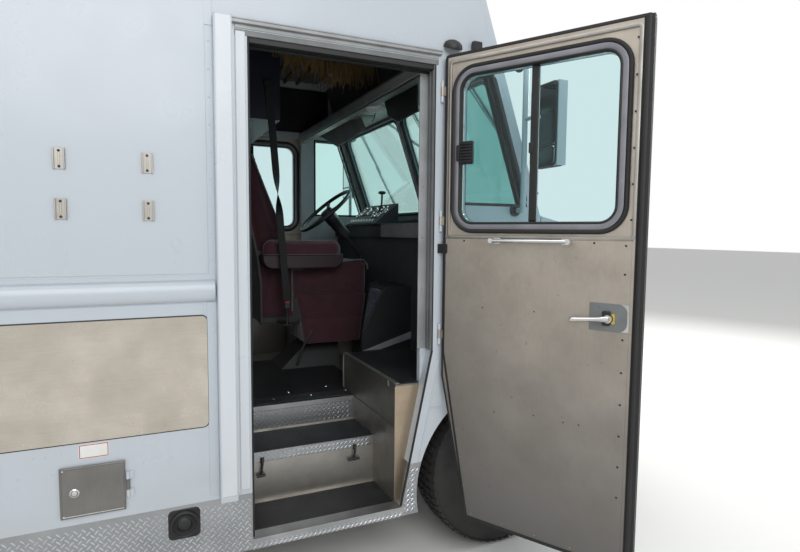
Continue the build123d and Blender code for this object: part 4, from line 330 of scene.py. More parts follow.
tinted_glass = pane("teal_toughened_glass", "DDF2F0")
clear_glass = pane("clear_toughened_glass", "E4F2F3")
coat_node("cab_glass", tinted_glass)
for name in ("entry_door_glass", "driver_door_glass", "rear_door_glass"):
    coat_node(name, clear_glass)


# Side wall dressing: pop rivets in rows, the rolled lip where two sheets lap, and pressed dimples.
# All are aluminium under the same enamel; the kerb wall carries them just as the photograph shows.
right_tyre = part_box("front_tyre_right")
left_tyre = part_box("front_tyre_left")
AXLE_X = (right_tyre[0].x + right_tyre[1].x) / 2
MIDDLE_Y = (right_tyre[0].y + left_tyre[1].y) / 2
TRUCK = Matrix.Translation((AXLE_X, MIDDLE_Y, 0)) @ Matrix.Scale(0.001, 4)


def stand(origin, right, up, out=None):
    """Placement whose local x, y and z run right, up and out from an origin in truck millimetres."""
    right, up = Vector(right).normalized(), Vector(up).normalized()
    out = Vector(out).normalized() if out else right.cross(up)
    return Matrix.Translation(origin) @ Matrix((right, up, out)).transposed().to_4x4()


def skin(shape, rings, around=False):
    """Joins rings of points by faces; the last ring goes back to the first, or both ends are capped."""
    made = [[shape.verts.new(point) for point in ring] for ring in rings]
    following = made[1:] + made[:1] if around else made[1:]
    for one, other in zip(made, following):
        for i in range(len(one)):
            j = (i + 1) % len(one)
            shape.faces.new((one[i], one[j], other[j], other[i]))
    if not around:
        shape.faces.new(made[0])
        shape.faces.new(made[-1])


def inset(outline, by):
    """Anticlockwise outline moved inwards, its corners mitred."""
    points = [Vector(p) for p in outline]
    moved = []
    for before, here, after in zip(points[-1:] + points[:-1], points, points[1:] + points[:1]):
        first = (here - before).normalized()
        second = (after - here).normalized()
        mitre = Vector((-first.y - second.y, first.x + second.x)) / (1 + first.dot(second))
        moved.append(here + mitre * by)
    return moved


def rounded(low, high, radius, steps=5):
    """Anticlockwise rectangle between two corners, with round corners."""
    points = []
    middles = ((high[0] - radius, high[1] - radius, 0), (low[0] + radius, high[1] - radius, 90),
               (low[0] + radius, low[1] + radius, 180), (high[0] - radius, low[1] + radius, 270))
    for x, y, start in middles:
        for step in range(steps + 1):
            angle = math.radians(start + 90 * step / steps)
            points.append((x + radius * math.cos(angle), y + radius * math.sin(angle)))
    return points


def disc(middle, radius, sides=24):
    """Anticlockwise circle."""
    turns = [2 * math.pi * i / sides for i in range(sides)]
    return [(middle[0] + radius * math.cos(t), middle[1] + radius * math.sin(t)) for t in turns]


def plate(shape, place, outline, low, high, edge=0.8):
    """Sheet or block of any outline between two levels, its edges eased."""
    small = inset(outline, edge)
    levels = ((small, low), (outline, low + edge), (outline, high - edge), (small, high))
    skin(shape, [[place @ Vector((p[0], p[1], level)) for p in ring] for ring, level in levels])


def slab(shape, low, high, edge=1.0, place=Matrix()):
    """Box between two corners, its edges eased."""
    outline = rounded(low[:2], high[:2], edge * 1.5, 1)
    plate(shape, place, outline, low[2], high[2], edge)


def moulding(shape, place, outline, section):
    """Closed section of (distance in, level) points carried round an outline."""
    rings = [[place @ Vector((p[0], p[1], level)) for p in inset(outline, deep)] for deep, level in section]
    skin(shape, rings, around=True)


def run(shape, points, section, up=(0, 0, 1), around=False):
    """Closed section of (sideways, up) points carried along a path."""
    points = [Vector(p) for p in points]
    rings = []
    for number, here in enumerate(points):
        before = points[number - 1] if number or around else here
        after = points[(number + 1) % len(points)] if number + 1 < len(points) or around else here
        along = ((after - here).normalized() + (here - before).normalized()).normalized()
        side = along.cross(Vector(up)).normalized()
        over = side.cross(along)
        rings.append([here + side * s + over * o for s, o in section])
    skin(shape, rings, around)


def tube(shape, points, radius, sides=10, up=(0, 0, 1), around=False):
    """Round bar, wire or pipe along a path."""
    run(shape, points, disc((0, 0), radius, sides), up, around)


def turned(shape, start, axis, profile, sides=20):
    """Body of revolution from (radius, distance along the axis) points."""
    axis = Vector(axis).normalized()
    side = axis.orthogonal().normalized()
    over = axis.cross(side)
    rings = []
    for radius, along in profile:
        ring = disc((0, 0), radius, sides)
        rings.append([Vector(start) + axis * along + side * a + over * b for a, b in ring])
    skin(shape, rings)


def studs(shape, place, centres, radius, height, sides=8):
    """Low domed heads of rivets or screws on a surface."""
    out = place.to_3x3() @ Vector((0, 0, 1))
    for centre in centres:
        level = centre[2] if len(centre) > 2 else 0
        base = place @ Vector((centre[0], centre[1], level))
        turned(shape, base - out, out, ((radius, 0), (radius, 1), (radius * 0.8, 1 + height * 0.7),
                                        (radius * 0.35, 1 + height)), sides)


def piece(shape, name, material, body="truck", angle=35):
    """Turns a shape drawn in truck millimetres into a piece that rides a body."""
    bmesh.ops.recalc_face_normals(shape, faces=shape.faces)
    shape.transform(TRUCK)
    mesh = bpy.data.meshes.new(name)
    shape.to_mesh(mesh)
    shape.free()
    mesh.shade_smooth()
    mesh.set_sharp_from_angle(angle=math.radians(angle))
    mesh.materials.append(material)
    made = bpy.data.objects.new(name, mesh)
    scene.collection.objects.link(made)
    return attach(made, body)


def spaced(first, last, pitch):
    """Evenly spaced values from first to last, about a pitch apart."""
    count = max(1, round(abs(last - first) / pitch))
    return [first + (last - first) * i / count for i in range(count + 1)]


HALF = 1200.0
KERB = stand((0, -HALF, 0), (1, 0, 0), (0, 0, 1))
ROAD = stand((0, HALF, 0), (1, 0, 0), (0, 0, 1), (0, 1, 0))


def facing_kerb(y):
    """Upright plane along the truck at one y, seen from the kerb."""
    return stand((0, y, 0), (1, 0, 0), (0, 0, 1))


def facing_rear(x, y=0, z=0):
    """Upright plane across the truck through a point, seen from behind."""
    return stand((x, y, z), (0, -1, 0), (0, 0, 1), (-1, 0, 0))


def slabs(name, material, rows, body="truck"):
    """One piece made of plain slabs; each row is a slab's low corner, high corner and edge."""
    shape = bmesh.new()
    for row in rows:
        slab(shape, *row)
    return piece(shape, name, material, body)


rivets = bmesh.new()
for side_place in (KERB, ROAD):
    studs(rivets, side_place, [(-1450, z) for z in spaced(1529, 2700, 105.5)], 4.2, 2.0)
    studs(rivets, side_place, [(x, 1350) for x in spaced(-6290, -1586, 105)], 3.8, 1.8)
    studs(rivets, side_place, [(x, 1457) for x in spaced(-6290, -1486, 105)], 3.8, 1.8)
    for row in (742, 812):
        shift = 0 if row == 742 else 50
        studs(rivets, side_place, [(x + shift, row) for x in spaced(-4000, -2130, 104)], 3.8, 1.8)
    studs(rivets, side_place, [(x, 2770) for x in spaced(-6290, -1500, 150)], 4.2, 2.0)
    studs(rivets, side_place, [(-2650, z) for z in spaced(1490, 2740, 105.5)], 4.2, 2.0)
lower_rivets = ((-2126, 742), (-2042, 812), (-1993, 811), (-2024, 739), (-1717, 742), (-1613, 742),
                (-1509, 740))
studs(rivets, KERB, lower_rivets, 3.8, 1.8)
studs(rivets, KERB, [(-1444, z, 3) for z in spaced(614, 1240, 101)], 4.0, 2.0)
piece(rivets, "wall_rivets", white_enamel)

dimples = bmesh.new()
for x, z in ((-2079, 2374), (-2025, 2158), (-2071, 1951), (-2018, 1736), (-2059, 1530), (-1799, 1640)):
    turned(dimples, (x, -HALF + 1, z), (0, -1, 0), ((9, 0), (9, 1.1), (7, 2.2), (5, 1.4), (2, 1.2)), 16)
piece(dimples, "pressed_dimples", white_enamel)

laps = bmesh.new()
for side_place in (KERB, ROAD):
    plate(laps, side_place, [(-6345, 1474), (-1463, 1474), (-1463, 2822), (-6345, 2822)], -1, 2.4)
    plate(laps, side_place, [(-6345, 1449), (-1437, 1449), (-1437, 1464), (-6345, 1464)], -1, 2.2)
    plate(laps, side_place, [(-6345, 1310), (-1486, 1310), (-1486, 1357), (-6345, 1357)], -1, 2.0)
plate(laps, KERB, [(-1472, 560), (-1434, 560), (-1434, 1359), (-1472, 1359)], -1, 3.2)
plate(laps, KERB, [(-1466, 2440), (-1434, 2440), (-1434, 2822), (-1466, 2822)], -1, 3.0)
piece(laps, "sheet_laps", white_enamel)

# Waist rails, the bright side panel and the four channel clips.
# The rails are rolled aluminium, sprayed white; the panel is thin stainless held by a dark bead of sealant.
rails = bmesh.new()
for side_place in (KERB, ROAD):
    half_round = [(41.5 * math.cos(math.radians(a)), 25 * math.sin(math.radians(a)))
                  for a in range(0, 181, 12)]
    section = [(v, 1403.5 + u) for u, v in half_round]
    rings = [[side_place @ Vector((x, z, level)) for level, z in section] for x in (-6345, -1440)]
    skin(rails, rings)
waist_rail = piece(rails, "waist_rails", white_enamel, angle=50)
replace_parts(waist_rail, "side_trim")

panel_outline = rounded((-3900, 850.5), (-1471, 1305.7), 22)
panel_shape = bmesh.new()
plate(panel_shape, KERB, panel_outline, 0.2, 3.4, 1.0)
bright_panel = piece(panel_shape, "bright_side_panel", stainless)
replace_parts(bright_panel, "side_trim")
bead = bmesh.new()
moulding(bead, KERB, panel_outline, ((-3.5, 0), (-3.0, 1.8), (-0.5, 3.2), (0.8, 3.8), (0.8, 0)))
piece(bead, "panel_sealant", seal_rubber)

clips = bmesh.new()
clip_screws = bmesh.new()
for clip_x in (-1963, -1676):
    for clip_z in (1897, 1718):
        spot = stand((clip_x, -HALF, clip_z), (1, 0, 0), (0, 0, 1))
        slab(clips, (-19, -37.5, 2), (19, 37.5, 6), 0.8, spot)
        slab(clips, (-19, -37.5, 2), (-14.5, 37.5, 14), 0.8, spot)
        slab(clips, (14.5, -37.5, 2), (19, 37.5, 14), 0.8, spot)
        slab(clips, (-3.5, -22, 5.5), (3.5, 22, 7.2), 0.6, spot)
        studs(clip_screws, spot, ((0, 28, 6), (0, -28, 6)), 5.2, 2.4, 10)
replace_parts(piece(clips, "channel_clips", mill_aluminium), "side_trim")
piece(clip_screws, "clip_screws", chassis_black)


# Fuel filler door: a dull stainless flap on a piano hinge, closed by a round chromed lock.
# A blank white vinyl label with a red edge is stuck on the wall above it.
DOOR_FACE = facing_kerb(-1210)
dull_stainless = brushed("dull_stainless_flap", "8C8A88", "6A6866", (1, 1, 40), (0.30, 0.42))
coat_node("fuel_door", dull_stainless)
lock = bmesh.new()
turned(lock, (-1953, -1210, 663), (0, -1, 0),
       ((17, 0), (17, 2.5), (15, 4.2), (12.5, 4.6), (12, 3.4), (10.5, 3.2), (9, 5.2), (3, 5.6)), 28)
slab(lock, (-1.6, -6, 5), (1.6, 6, 6.4), 0.4, stand((-1953, -1210, 663), (1, 0, 0), (0, 0, 1)))
studs(lock, DOOR_FACE, ((-1990, 752), (-1990, 578)), 4.0, 2.0)
piece(lock, "fuel_door_lock", chrome, "fuel_door")
flap_edge = bmesh.new()
moulding(flap_edge, DOOR_FACE, rounded((-1999, 570), (-1783, 760), 6),
         ((0, 0), (1.2, 1.6), (4, 1.9), (6, 0.4)))
piece(flap_edge, "fuel_door_fold", dull_stainless, "fuel_door")

white_vinyl = flat_coat("white_vinyl_label", "E8E8E6", "DADAD6", 0.4, 8.0, 0.02)
red_vinyl = flat_coat("red_vinyl_edge", "B3262B", "A02026", 0.4, 8.0, 0.02)
label_outline = rounded((-1936, 786), (-1835, 841), 3, 2)
label = bmesh.new()
plate(label, KERB, label_outline, 0, 0.5, 0.2)
piece(label, "blank_label", white_vinyl)
label_edge = bmesh.new()
moulding(label_edge, KERB, label_outline, ((2, 0.3), (2, 0.9), (4.6, 0.9), (4.6, 0.3)))
piece(label_edge, "label_edge", red_vinyl)


# Skirts: rolled aluminium tread plate, whose raised lugs lean one way and the other in turn.
# The lugs are real shapes, coloured lighter than the plate they are pressed from as a painted highlight;
# the plate is bolted to the sill beam and dulled by road dirt.
def lugs(shape, place, low, high, keep=None, level=0.0, pitch=28.0):
    """Raised lens-shaped lugs inside a rectangle, each leaning across its neighbours."""
    for start, lean in ((0.25, 45), (0.75, -45)):
        along = Vector((math.cos(math.radians(lean)), math.sin(math.radians(lean))))
        aside = Vector((-along.y, along.x))
        for row in range(int((high[1] - low[1]) / pitch)):
            for column in range(int((high[0] - low[0]) / pitch)):
                middle = Vector((low[0] + (column + start) * pitch, low[1] + (row + start) * pitch))
                if keep and not keep(middle):
                    continue
                rings = []
                for reach, width, height in ((12, 3.4, -0.3), (8.5, 1.5, 1.4)):
                    ring = ((reach, 0), (reach / 2, width), (-reach / 2, width), (-reach, 0),
                            (-reach / 2, -width), (reach / 2, -width))
                    spots = [middle + along * a + aside * b for a, b in ring]
                    rings.append([place @ Vector((p.x, p.y, level + height)) for p in spots])
                skin(shape, rings)


# Painted highlight: a lighter, shinier colour for the lugs than for the tread plate around them.
highlit_lug_aluminium = flat_coat("lug_aluminium_painted_highlight", "C9CDD2", "AEB2B7", 0.28, 3.0, 0.05, 0.7)


ARCH_Z, REAR_AXLE_X = 380, -4520


def outside_arch(spot):
    """Whether a lug's middle is clear of both wheel arches and of the entry's slanted edge."""
    clear = all((spot - Vector((x, ARCH_Z))).length > 537 for x in (0, REAR_AXLE_X))
    return clear and spot.x < -490 + (spot.y - 540) * 0.215


for side_name, side_place in (("kerb", KERB), ("road", ROAD)):
    skirt_lugs = bmesh.new()
    lugs(skirt_lugs, side_place, (-6345, 288), (-1304, 534), outside_arch)
    piece(skirt_lugs, "skirt_lugs_" + side_name, highlit_lug_aluminium)

# Skirt lamps: round side lamps with a dark lens in a moulded rubber body.
# Screws through a square rubber foot hold each one to the skirt.
lamp_rubber = bmesh.new()
lamp_glass = bmesh.new()
for side, side_place in ((-1, KERB), (1, ROAD)):
    spot = side_place @ Matrix.Translation((-1572.5, 459, 0))
    plate(lamp_rubber, spot, rounded((-61, -61), (61, 61), 20), 0, 4, 1.5)
    turned(lamp_rubber, (-1572.5, side * HALF, 459), (0, side, 0),
           ((57, 2), (57, 9), (54, 15), (49, 17), (45, 14), (43, 9), (38, 8), (35, 12), (31, 13), (28, 9),
            (27, 6)), 36)
    turned(lamp_glass, (-1572.5, side * HALF, 459), (0, side, 0),
           ((27, 5), (27, 8), (22, 11), (12, 13), (3, 13.5)), 28)
    studs(lamp_rubber, spot, ((-50, -50, 4), (50, 50, 4), (-50, 50, 4), (50, -50, 4)), 4, 1.6)
skirt_lamps = piece(lamp_rubber, "skirt_lamp_rubbers", seal_rubber)
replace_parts(skirt_lamps, "lamps")
piece(lamp_glass, "skirt_lamp_lenses", moulded_black)

# Entry post, header and jambs: folded aluminium channels round the doorway, held by screws.
# The post is sprayed white, coloured lighter than the same enamel on the wall as painted light; the others
# are bare; a bulb seal of black rubber lines the opening.
# Painted light: the post's white is lighter than the wall's white enamel, as if the proud post catches more
# light.
post_enamel_painted_light = enamel("white_enamel_on_post_painted_light", "D0D6DC")
slabs("entry_post_face", post_enamel_painted_light, (
    ((-1431, -1251, 560), (-1368, -1246, 2474), 2.0),
    ((-1364, -1206, 548), (-1351, -1199, 2440), 1.5),
    ((-1348, -1204, 557), (-1309, -1199, 2436), 1.5)))
header = bmesh.new()
weathered_channel = flat_coat("weathered_channel_aluminium", "A3A5A6", "8D8F90", 0.45, 2.0, 0.05, 0.3)
grey_channel = flat_coat("dull_channel_aluminium", "7C7F7F", "6B6E6E", 0.5, 2.0, 0.05, 0.3)
slab(header, (-1366, -1216, 2463), (-418, -1196, 2481), 2.5)
slab(header, (-1366, -1219, 2477), (-418, -1214, 2483), 1.5)
slab(header, (-1350, -1203, 2446), (-430, -1196, 2464), 1.5)
piece(header, "header_channel", weathered_channel)
slabs("header_lip", grey_channel, (((-1350, -1202, 2420), (-430, -1196, 2443), 1.5),))
slabs("header_seal", seal_rubber, (
    ((-1298, -1196, 2398), (-446, -1150, 2427), 1.5),
    ((-1298, -1148, 2392), (-446, -1132, 2425), 1.5)))
slabs("front_jamb_lining", weathered_channel, (((-492, -1134, 1080), (-453, -1126, 2424), 1.2),))
jamb_return = bmesh.new()
slab(jamb_return, (-452, -1200, 1080), (-444, -1136, 2424), 1.2)
for y in (-1190, -1162):
    slab(jamb_return, (-455, y - 5, 1080), (-451, y + 5, 2424), 1.5)
piece(jamb_return, "front_jamb_return", grey_channel)
seal = bmesh.new()
tube(seal, [(-446, -1197, 1080), (-446, -1197, 2424)], 5.0, 10, (0, 1, 0))
tube(seal, [(-1297, -1197, 340), (-1297, -1197, 2424)], 5.0, 10, (0, 1, 0))
piece(seal, "doorway_bulb_seal", seal_rubber)
jamb_screws = bmesh.new()
JAMB = facing_kerb(-1134)
studs(jamb_screws, JAMB, [(-473, z) for z in (2370, 2118, 1865, 1621, 1370, 1130)], 5.0, 2.2, 10)
piece(jamb_screws, "jamb_screws", mill_aluminium)

# Gusset below the front jamb: two flat white sheets with a sealed seam between them.
# Its foot is tread plate, and a bulb seal of rubber runs down its slanted edge.
gusset = bmesh.new()
tube(gusset, [(-409, -1202, 1029), (-447, -1202, 852), (-499, -1202, 605), (-514, -1202, 540)], 3.0, 8,
     (0, 1, 0))
slab(gusset, (-458, -1203, 790), (-381, -1200, 800), 1.0)
piece(gusset, "gusset_seams", white_enamel)
gusset_seal = bmesh.new()
lean = (1075 - 335) * 165 / (1075 - 301)
tube(gusset_seal, [(-443, -1195, 1078), (-443 - lean, -1195, 335)], 6.0, 10, (0, 1, 0))
piece(gusset_seal, "gusset_bulb_seal", seal_rubber)

foot_lugs = bmesh.new()


def on_foot(spot):
    """Whether a lug's middle lies on the gusset's foot, between the seal and the wheel arch."""
    return spot.x > -428 - (1075 - spot.y) * 0.2132 and (spot - Vector((0, ARCH_Z))).length > 535


lugs(foot_lugs, KERB, (-600, 300), (-380, 530), on_foot, 1.0, 24)
lugs(foot_lugs, facing_kerb(-1201.4), (-1300, 284), (-590, 306), pitch=22)
piece(foot_lugs, "foot_and_sill_lugs", highlit_lug_aluminium)

# Steps: folded aluminium wells with ribbed black rubber treads and tread-plate nosings.
# Two black T-latches hold the lower riser's flap.
tread_rubber = flat_coat("ribbed_tread_rubber", "1B1C1F", "2E2F31", 0.42, 3.0, 0.1)
treads = bmesh.new()
tread_ribs = ((-1296, -1122, 317.4, -640, -866), (-1296, -838, 562.9, -607, -566),
              (-1296, -500, 696.4, -607, -405))
for rear, outer, top, front, inner in tread_ribs:
    slab(treads, (rear, outer, top - 0.4), (-607, inner, top + 3), 1.0)
    for y in spaced(outer + 6, inner - 6, 9.5):
        slab(treads, (rear + 4, y - 2.2, top + 2.6), (-611, y + 2.2, top + 5.2), 0.9)
piece(treads, "step_treads", tread_rubber)
nosings = bmesh.new()
for edge, top, drop in ((-842, 562.5, 45), (-539, 696, 26)):
    slab(nosings, (-1297, edge - 3.2, top - drop), (-606, edge - 0.4, top + 2.4), 1.0)
    slab(nosings, (-1297, edge - 3.2, top + 0.4), (-606, edge + 26, top + 3.4), 1.0)
piece(nosings, "step_nosings", tread_aluminium)
riser_lugs = bmesh.new()
lugs(riser_lugs, facing_kerb(-845.2), (-1296, 516), (-608, 563), pitch=23)
lugs(riser_lugs, facing_kerb(-539.4), (-1296, 572), (-608, 684))
piece(riser_lugs, "riser_lugs", highlit_lug_aluminium)
slabs("riser_tread_plate", tread_aluminium, (((-1297, -539.6, 570), (-606, -537.5, 686), 0.6),))
latches = bmesh.new()
for x, top, bar, low, high in ((-1193, 532, 452, -1222, -1180), (-712, 524, 457, -752, -690)):
    slab(latches, (x - 9, -853, top - 20), (x + 9, -842, top + 6), 1.5)
    tube(latches, [(x, -852, top), (x, -860, top - 16), ((low + high) / 2, -861, bar)], 5.5, 10)
    tube(latches, [(low, -861, bar), (high, -861, bar + 2)], 7.0, 12)
piece(latches, "riser_latches", moulded_black)

# Entry sill: a double channel of folded aluminium under the doorway.
# It closes the outer edge of the lowest step.
sill = bmesh.new()
for low, high, out in ((300, 329, 1201.5), (284, 293, 1202)):
    slab(sill, (-1300, -out, low), (-578, -1196, high), 1.5)
piece(sill, "entry_sill_channel", weathered_channel)


# Entry door, held open: a leaf of bare aluminium inside and white enamel outside.
# Its inside carries a channel round the window half, one lower sheet, screws, a latch and a grab bar.
SWING = math.radians(118.92)
LEAF = stand((-413, -1208, 0), (-math.cos(SWING), -math.sin(SWING), 0), (0, 0, 1))
SHUT_LEAF = stand((-413, 1208, 0), (-1, 0, 0), (0, 0, 1), (0, -1, 0))


def leaf_coat(name, leaf_place, level):
    """Door finish: bare brushed sheet inside, white enamel beyond a level within the leaf's thickness; the
    bare sheet gets painted shade low down and painted warm light higher up.
    """
    made, tree, shader, place = finish(name)
    out = (TRUCK.to_3x3() @ leaf_place.to_3x3() @ Vector((0, 0, 1))).normalized()
    origin = TRUCK @ leaf_place @ Vector((0, 0, level))
    depth = add_node(tree, "ShaderNodeVectorMath", {"operation": "DOT_PRODUCT", 1: out}, {0: place})
    bare = fade(tree, depth.outputs["Value"], origin.dot(out) - 0.0005, origin.dot(out) + 0.0005)
    height = fade(tree, height_of(tree, place), 0.3, 1.7)
    lines = grain(tree, place, 2.2, 2.0, (1, 1, 30))
    clouds = fade(tree, grain(tree, place, 260, 5.0, rough=0.6), 0.32, 0.72)
    spots = fade(tree, grain(tree, place, 26, 2.0), 0.70, 0.78, 0.0, 0.35)
    # Painted shade and light: the bare sheet runs from dark grey at 0.3 m to a warm pale tone at 1.7 m.
    metal_with_painted_light = blend_colours(tree, height, "737375", "CFC4B7")
    worn = math_node(tree, "ADD", math_node(tree, "MULTIPLY", clouds, 0.4),
                     math_node(tree, "MULTIPLY", lines, 0.25))
    metal_with_painted_light = blend_colours(tree, worn, metal_with_painted_light, "77726B")
    metal_with_painted_light = blend_colours(tree, spots, metal_with_painted_light, "5E5953")
    tree.links.new(blend_colours(tree, bare, "B6BEC7", metal_with_painted_light), shader.inputs["Base Color"])
    tree.links.new(math_node(tree, "MULTIPLY", bare, 0.85), shader.inputs["Metallic"])
    tree.links.new(fade(tree, clouds, 0.0, 1.0, 0.36, 0.50), shader.inputs["Roughness"])
    relief(tree, shader, lines, 0.04, 0.5)
    return made


door_skin = leaf_coat("entry_door_sheet", LEAF, -20)
far_door_skin = leaf_coat("driver_door_sheet", SHUT_LEAF, -20)
coat_node("entry_door", door_skin)
coat_node("driver_door", far_door_skin)
lilac_aluminium = flat_coat("grey_window_ring", "8E8E94", "7C7C82", 0.42, 1.2, 0.04, 0.5)
yellow_plastic = flat_coat("yellow_latch_tab", "C9B23A", "B39C2E", 0.5, 2.0, 0.05)


def dress_leaf(prefix, place, body, skin_coat):
    """Channel, window ring, sheet, screws, latch and grab bar of one side door, on its inside face."""
    channel = bmesh.new()
    moulding(channel, place, rounded((50, 1632), (866, 2420), 8, 3),
             ((-13, -1), (-13, 2.2), (-10, 4.2), (-2, 4.2), (0.8, 3.0), (0.8, -4.8), (-3, -4.8)))
    slab(channel, (29, 1621, -0.5), (872, 1634, 3.4), 0.8, place)
    piece(channel, prefix + "_channel", mill_aluminium, body)
    window = rounded((56, 1644), (850, 2400), 112, 9)
    gasket = bmesh.new()
    moulding(gasket, place, window, ((0, -4), (0.5, 4), (4, 8.5), (11, 9.5), (16, 7), (18, 4), (18, -4)))
    moulding(gasket, place, window, ((40, 0), (41, 7), (44, 8.6), (48, 7), (51, 2), (51, -12), (46, -12)))
    plate(gasket, place, rounded((437, 1699), (468, 2345), 3, 2), -26, -8, 2)
    slab(gasket, (432, 1985, -9), (450, 2030, -3), 2, place)
    piece(gasket, prefix + "_window_rubber", seal_rubber, body)
    ring = bmesh.new()
    moulding(ring, place, window, ((17.5, 0), (18.5, 6), (22, 7.4), (37, 7.4), (40, 6), (41, 0)))
    piece(ring, prefix + "_window_ring", lilac_aluminium, body)
    if body == "entry_door":
        catch = bmesh.new()
        plate(catch, place, rounded((100, 1956), (173, 2060), 6, 3), 2, 12, 1.5)
        for z in spaced(1968, 2048, 13.5):
            slab(catch, (108, z - 3.5, 11), (166, z + 3.5, 20), 1.5, place)
        plate(catch, place, rounded((88, 1972), (104, 2044), 4, 2), 2, 16, 1.5)
        piece(catch, prefix + "_window_catch", moulded_black, body)
    sheet = bmesh.new()
    plate(sheet, place, [(176, 311), (868, 311), (868, 1619), (31, 1619), (31, 1084)], -0.5, 1.4, 0.6)
    piece(sheet, prefix + "_lower_sheet", skin_coat, body)
    edge = bmesh.new()
    slab(edge, (29, 1618.6, -0.4), (870, 1621.4, 1.0), 0.4, place)
    leaf_line = [(24, 1075), (165, 301), (911, 301), (911, 2453), (24, 2453)]
    moulding(edge, place, leaf_line, ((-4, -30), (-5, -4), (-3, 3), (4, 4), (6, 0.5), (1, -0.5), (1, -30)))
    bulb = [(13 * math.cos(math.radians(a)), 9 * math.sin(math.radians(a))) for a in range(0, 181, 20)]
    run(edge, [place @ Vector((896, z, 1)) for z in (304, 2450)], bulb + [(-17, 0), (-17, -2), (14, -2)],
        place.to_3x3() @ Vector((0, 0, 1)))
    piece(edge, prefix + "_edge_seal", seal_rubber, body)
    screws = bmesh.new()
    right_row = [(846, z, 1) for z in (595, 720, 846, 973, 1101, 1232, 1489, 1600)]
    studs(screws, place, right_row + [(130, 1609, 1), (724, 1609, 1)], 5.0, 2.0, 10)
    studs(screws, place, [(861, z, 3) for z in spaced(1700, 2380, 136)], 4.2, 1.6, 10)
    studs(screws, place, [(232, 1307, 1), (479, 1311, 1), (301, 836, 1), (489, 858, 1), (621, 855, 1),
                          (686, 858, 1)], 4.0, 1.2, 8)
    piece(screws, prefix + "_dark_screws", chassis_black, body)
    pins = bmesh.new()
    studs(pins, place, [(44, z, 1) for z in (1475, 1347, 1218, 1094)], 3.2, 1.4)
    studs(pins, place, [(60, 990, 1), (104, 712, 1), (128, 583, 1), (152, 451, 1)], 3.2, 1.4)
    studs(pins, place, [(r, 322, 1) for r in (192, 352, 508, 667, 820)], 3.2, 1.4)
    studs(pins, place, [(40, z, 4) for z in spaced(1700, 2380, 138)], 3.0, 1.4)
    studs(pins, place, [(r, 2426, 4) for r in spaced(90, 830, 148)], 3.0, 1.4)
    piece(pins, prefix + "_rivets", mill_aluminium, body)
    latch = bmesh.new()
    round_end = [p for p in rounded((760, 1261), (862, 1372), 34, 6) if p[0] > 800]
    upper = sorted((p for p in round_end if p[1] > 1316), key=lambda p: -p[1])
    lower = sorted((p for p in round_end if p[1] <= 1316), key=lambda p: -p[1])
    outline = [(715, 1372), (715, 1261)] + lower[::-1] + upper[::-1]
    plate(latch, place, outline, 1, 5.4, 1.2)
    studs(latch, place, ((756, 1359, 5), (754, 1266, 5), (840, 1316, 5), (728, 1300, 5)), 5.5, 2.0, 10)
    piece(latch, prefix + "_latch_plate", grey_channel, body)
    works = bmesh.new()
    slab(works, (768, 1284, 5), (800, 1342, 15), 2.5, place)
    turned(works, place @ Vector((792, 1312, 4)), place.to_3x3() @ Vector((0, 0, 1)),
           ((18, 0), (18, 6), (15, 10), (15, 16)), 24)
    piece(works, prefix + "_latch_works", moulded_black, body)
    tab = bmesh.new()
    slab(tab, (802, 1291, 5), (815, 1332, 9), 1.5, place)
    piece(tab, prefix + "_latch_tab", yellow_plastic, body)
    lever = bmesh.new()
    pivot, tip = place @ Vector((800, 1312.5, 23)), place @ Vector((640, 1297, 26))
    turned(lever, pivot, tip - pivot, ((6, 0), (12, 2), (13, 20), (10, 40), (8.4, 80), (9.4, 130),
                                       (11, 150), (9, 158), (4, 161)), 20)
    slab(lever, (783, 1303, 14), (801, 1321, 24), 3, place)
    bar_ends = [place @ Vector((r, 1612, 30)) for r in (279, 629)]
    tube(lever, bar_ends, 8.6, 16, place.to_3x3() @ Vector((0, 0, 1)))
    for r in (290, 606):
        plate(lever, place, rounded((r - 22, 1598), (r + 26, 1626), 12, 4), 1, 5.2, 1.4)
        studs(lever, place, ((r - 13, 1612, 5), (r + 18, 1612, 5)), 4.4, 1.8, 10)
    piece(lever, prefix + "_lever_and_bar", chrome, body)


dress_leaf("entry_door", LEAF, "entry_door", door_skin)
dress_leaf("driver_door", SHUT_LEAF, "driver_door", far_door_skin)

# Check strap: black nylon webbing that stops the open door.
# It is screwed to the leaf beside its hinge.
strap = bmesh.new()
slab(strap, (-14, 1548, 2), (40, 1592, 6), 1.2, LEAF)
slab(strap, (14, 1550, 6), (38, 1590, 10), 1.2, LEAF)
studs(strap, LEAF, ((26, 1560, 10), (26, 1580, 10)), 4.2, 1.8, 10)
piece(strap, "door_check_strap", webbing, "entry_door")


# Driver's seat: foam cushions under maroon woven covers, the lower cover hanging as a skirt.
# The foam is swelled by a short cloth run; piping and seams are sewn on afterwards.
grey_piping = flat_coat("grey_vinyl_piping", "6B6A6E", "58575B", 0.5, 2.0, 0.05)


def cushion_cloth(name, colour, deep):
    """Woven cover cloth: fine crossing threads, a soft sheen and rubbed patches."""
    made, tree, shader, place = finish(name)
    warp = grain(tree, place, 2.2, 1.0, (1, 1, 6))
    weft = grain(tree, place, 2.2, 1.0, (6, 6, 1))
    weave = math_node(tree, "MAXIMUM", warp, weft)
    rubbed = fade(tree, grain(tree, place, 90, 4.0), 0.35, 0.75)
    share = math_node(tree, "ADD", math_node(tree, "MULTIPLY", rubbed, 0.5),
                      math_node(tree, "MULTIPLY", weave, 0.4))
    tree.links.new(blend_colours(tree, share, colour, deep), shader.inputs["Base Color"])
    shader.inputs["Roughness"].default_value = 0.9
    shader.inputs["Sheen Weight"].default_value = 0.35
    shader.inputs["Sheen Roughness"].default_value = 0.5
    relief(tree, shader, weave, 0.5, 0.7)
    return made


seat_cloth = cushion_cloth("maroon_seat_cloth", "44202A", "2E151D")
arm_cloth = cushion_cloth("maroon_arm_cloth", "4A2530", "351A24")


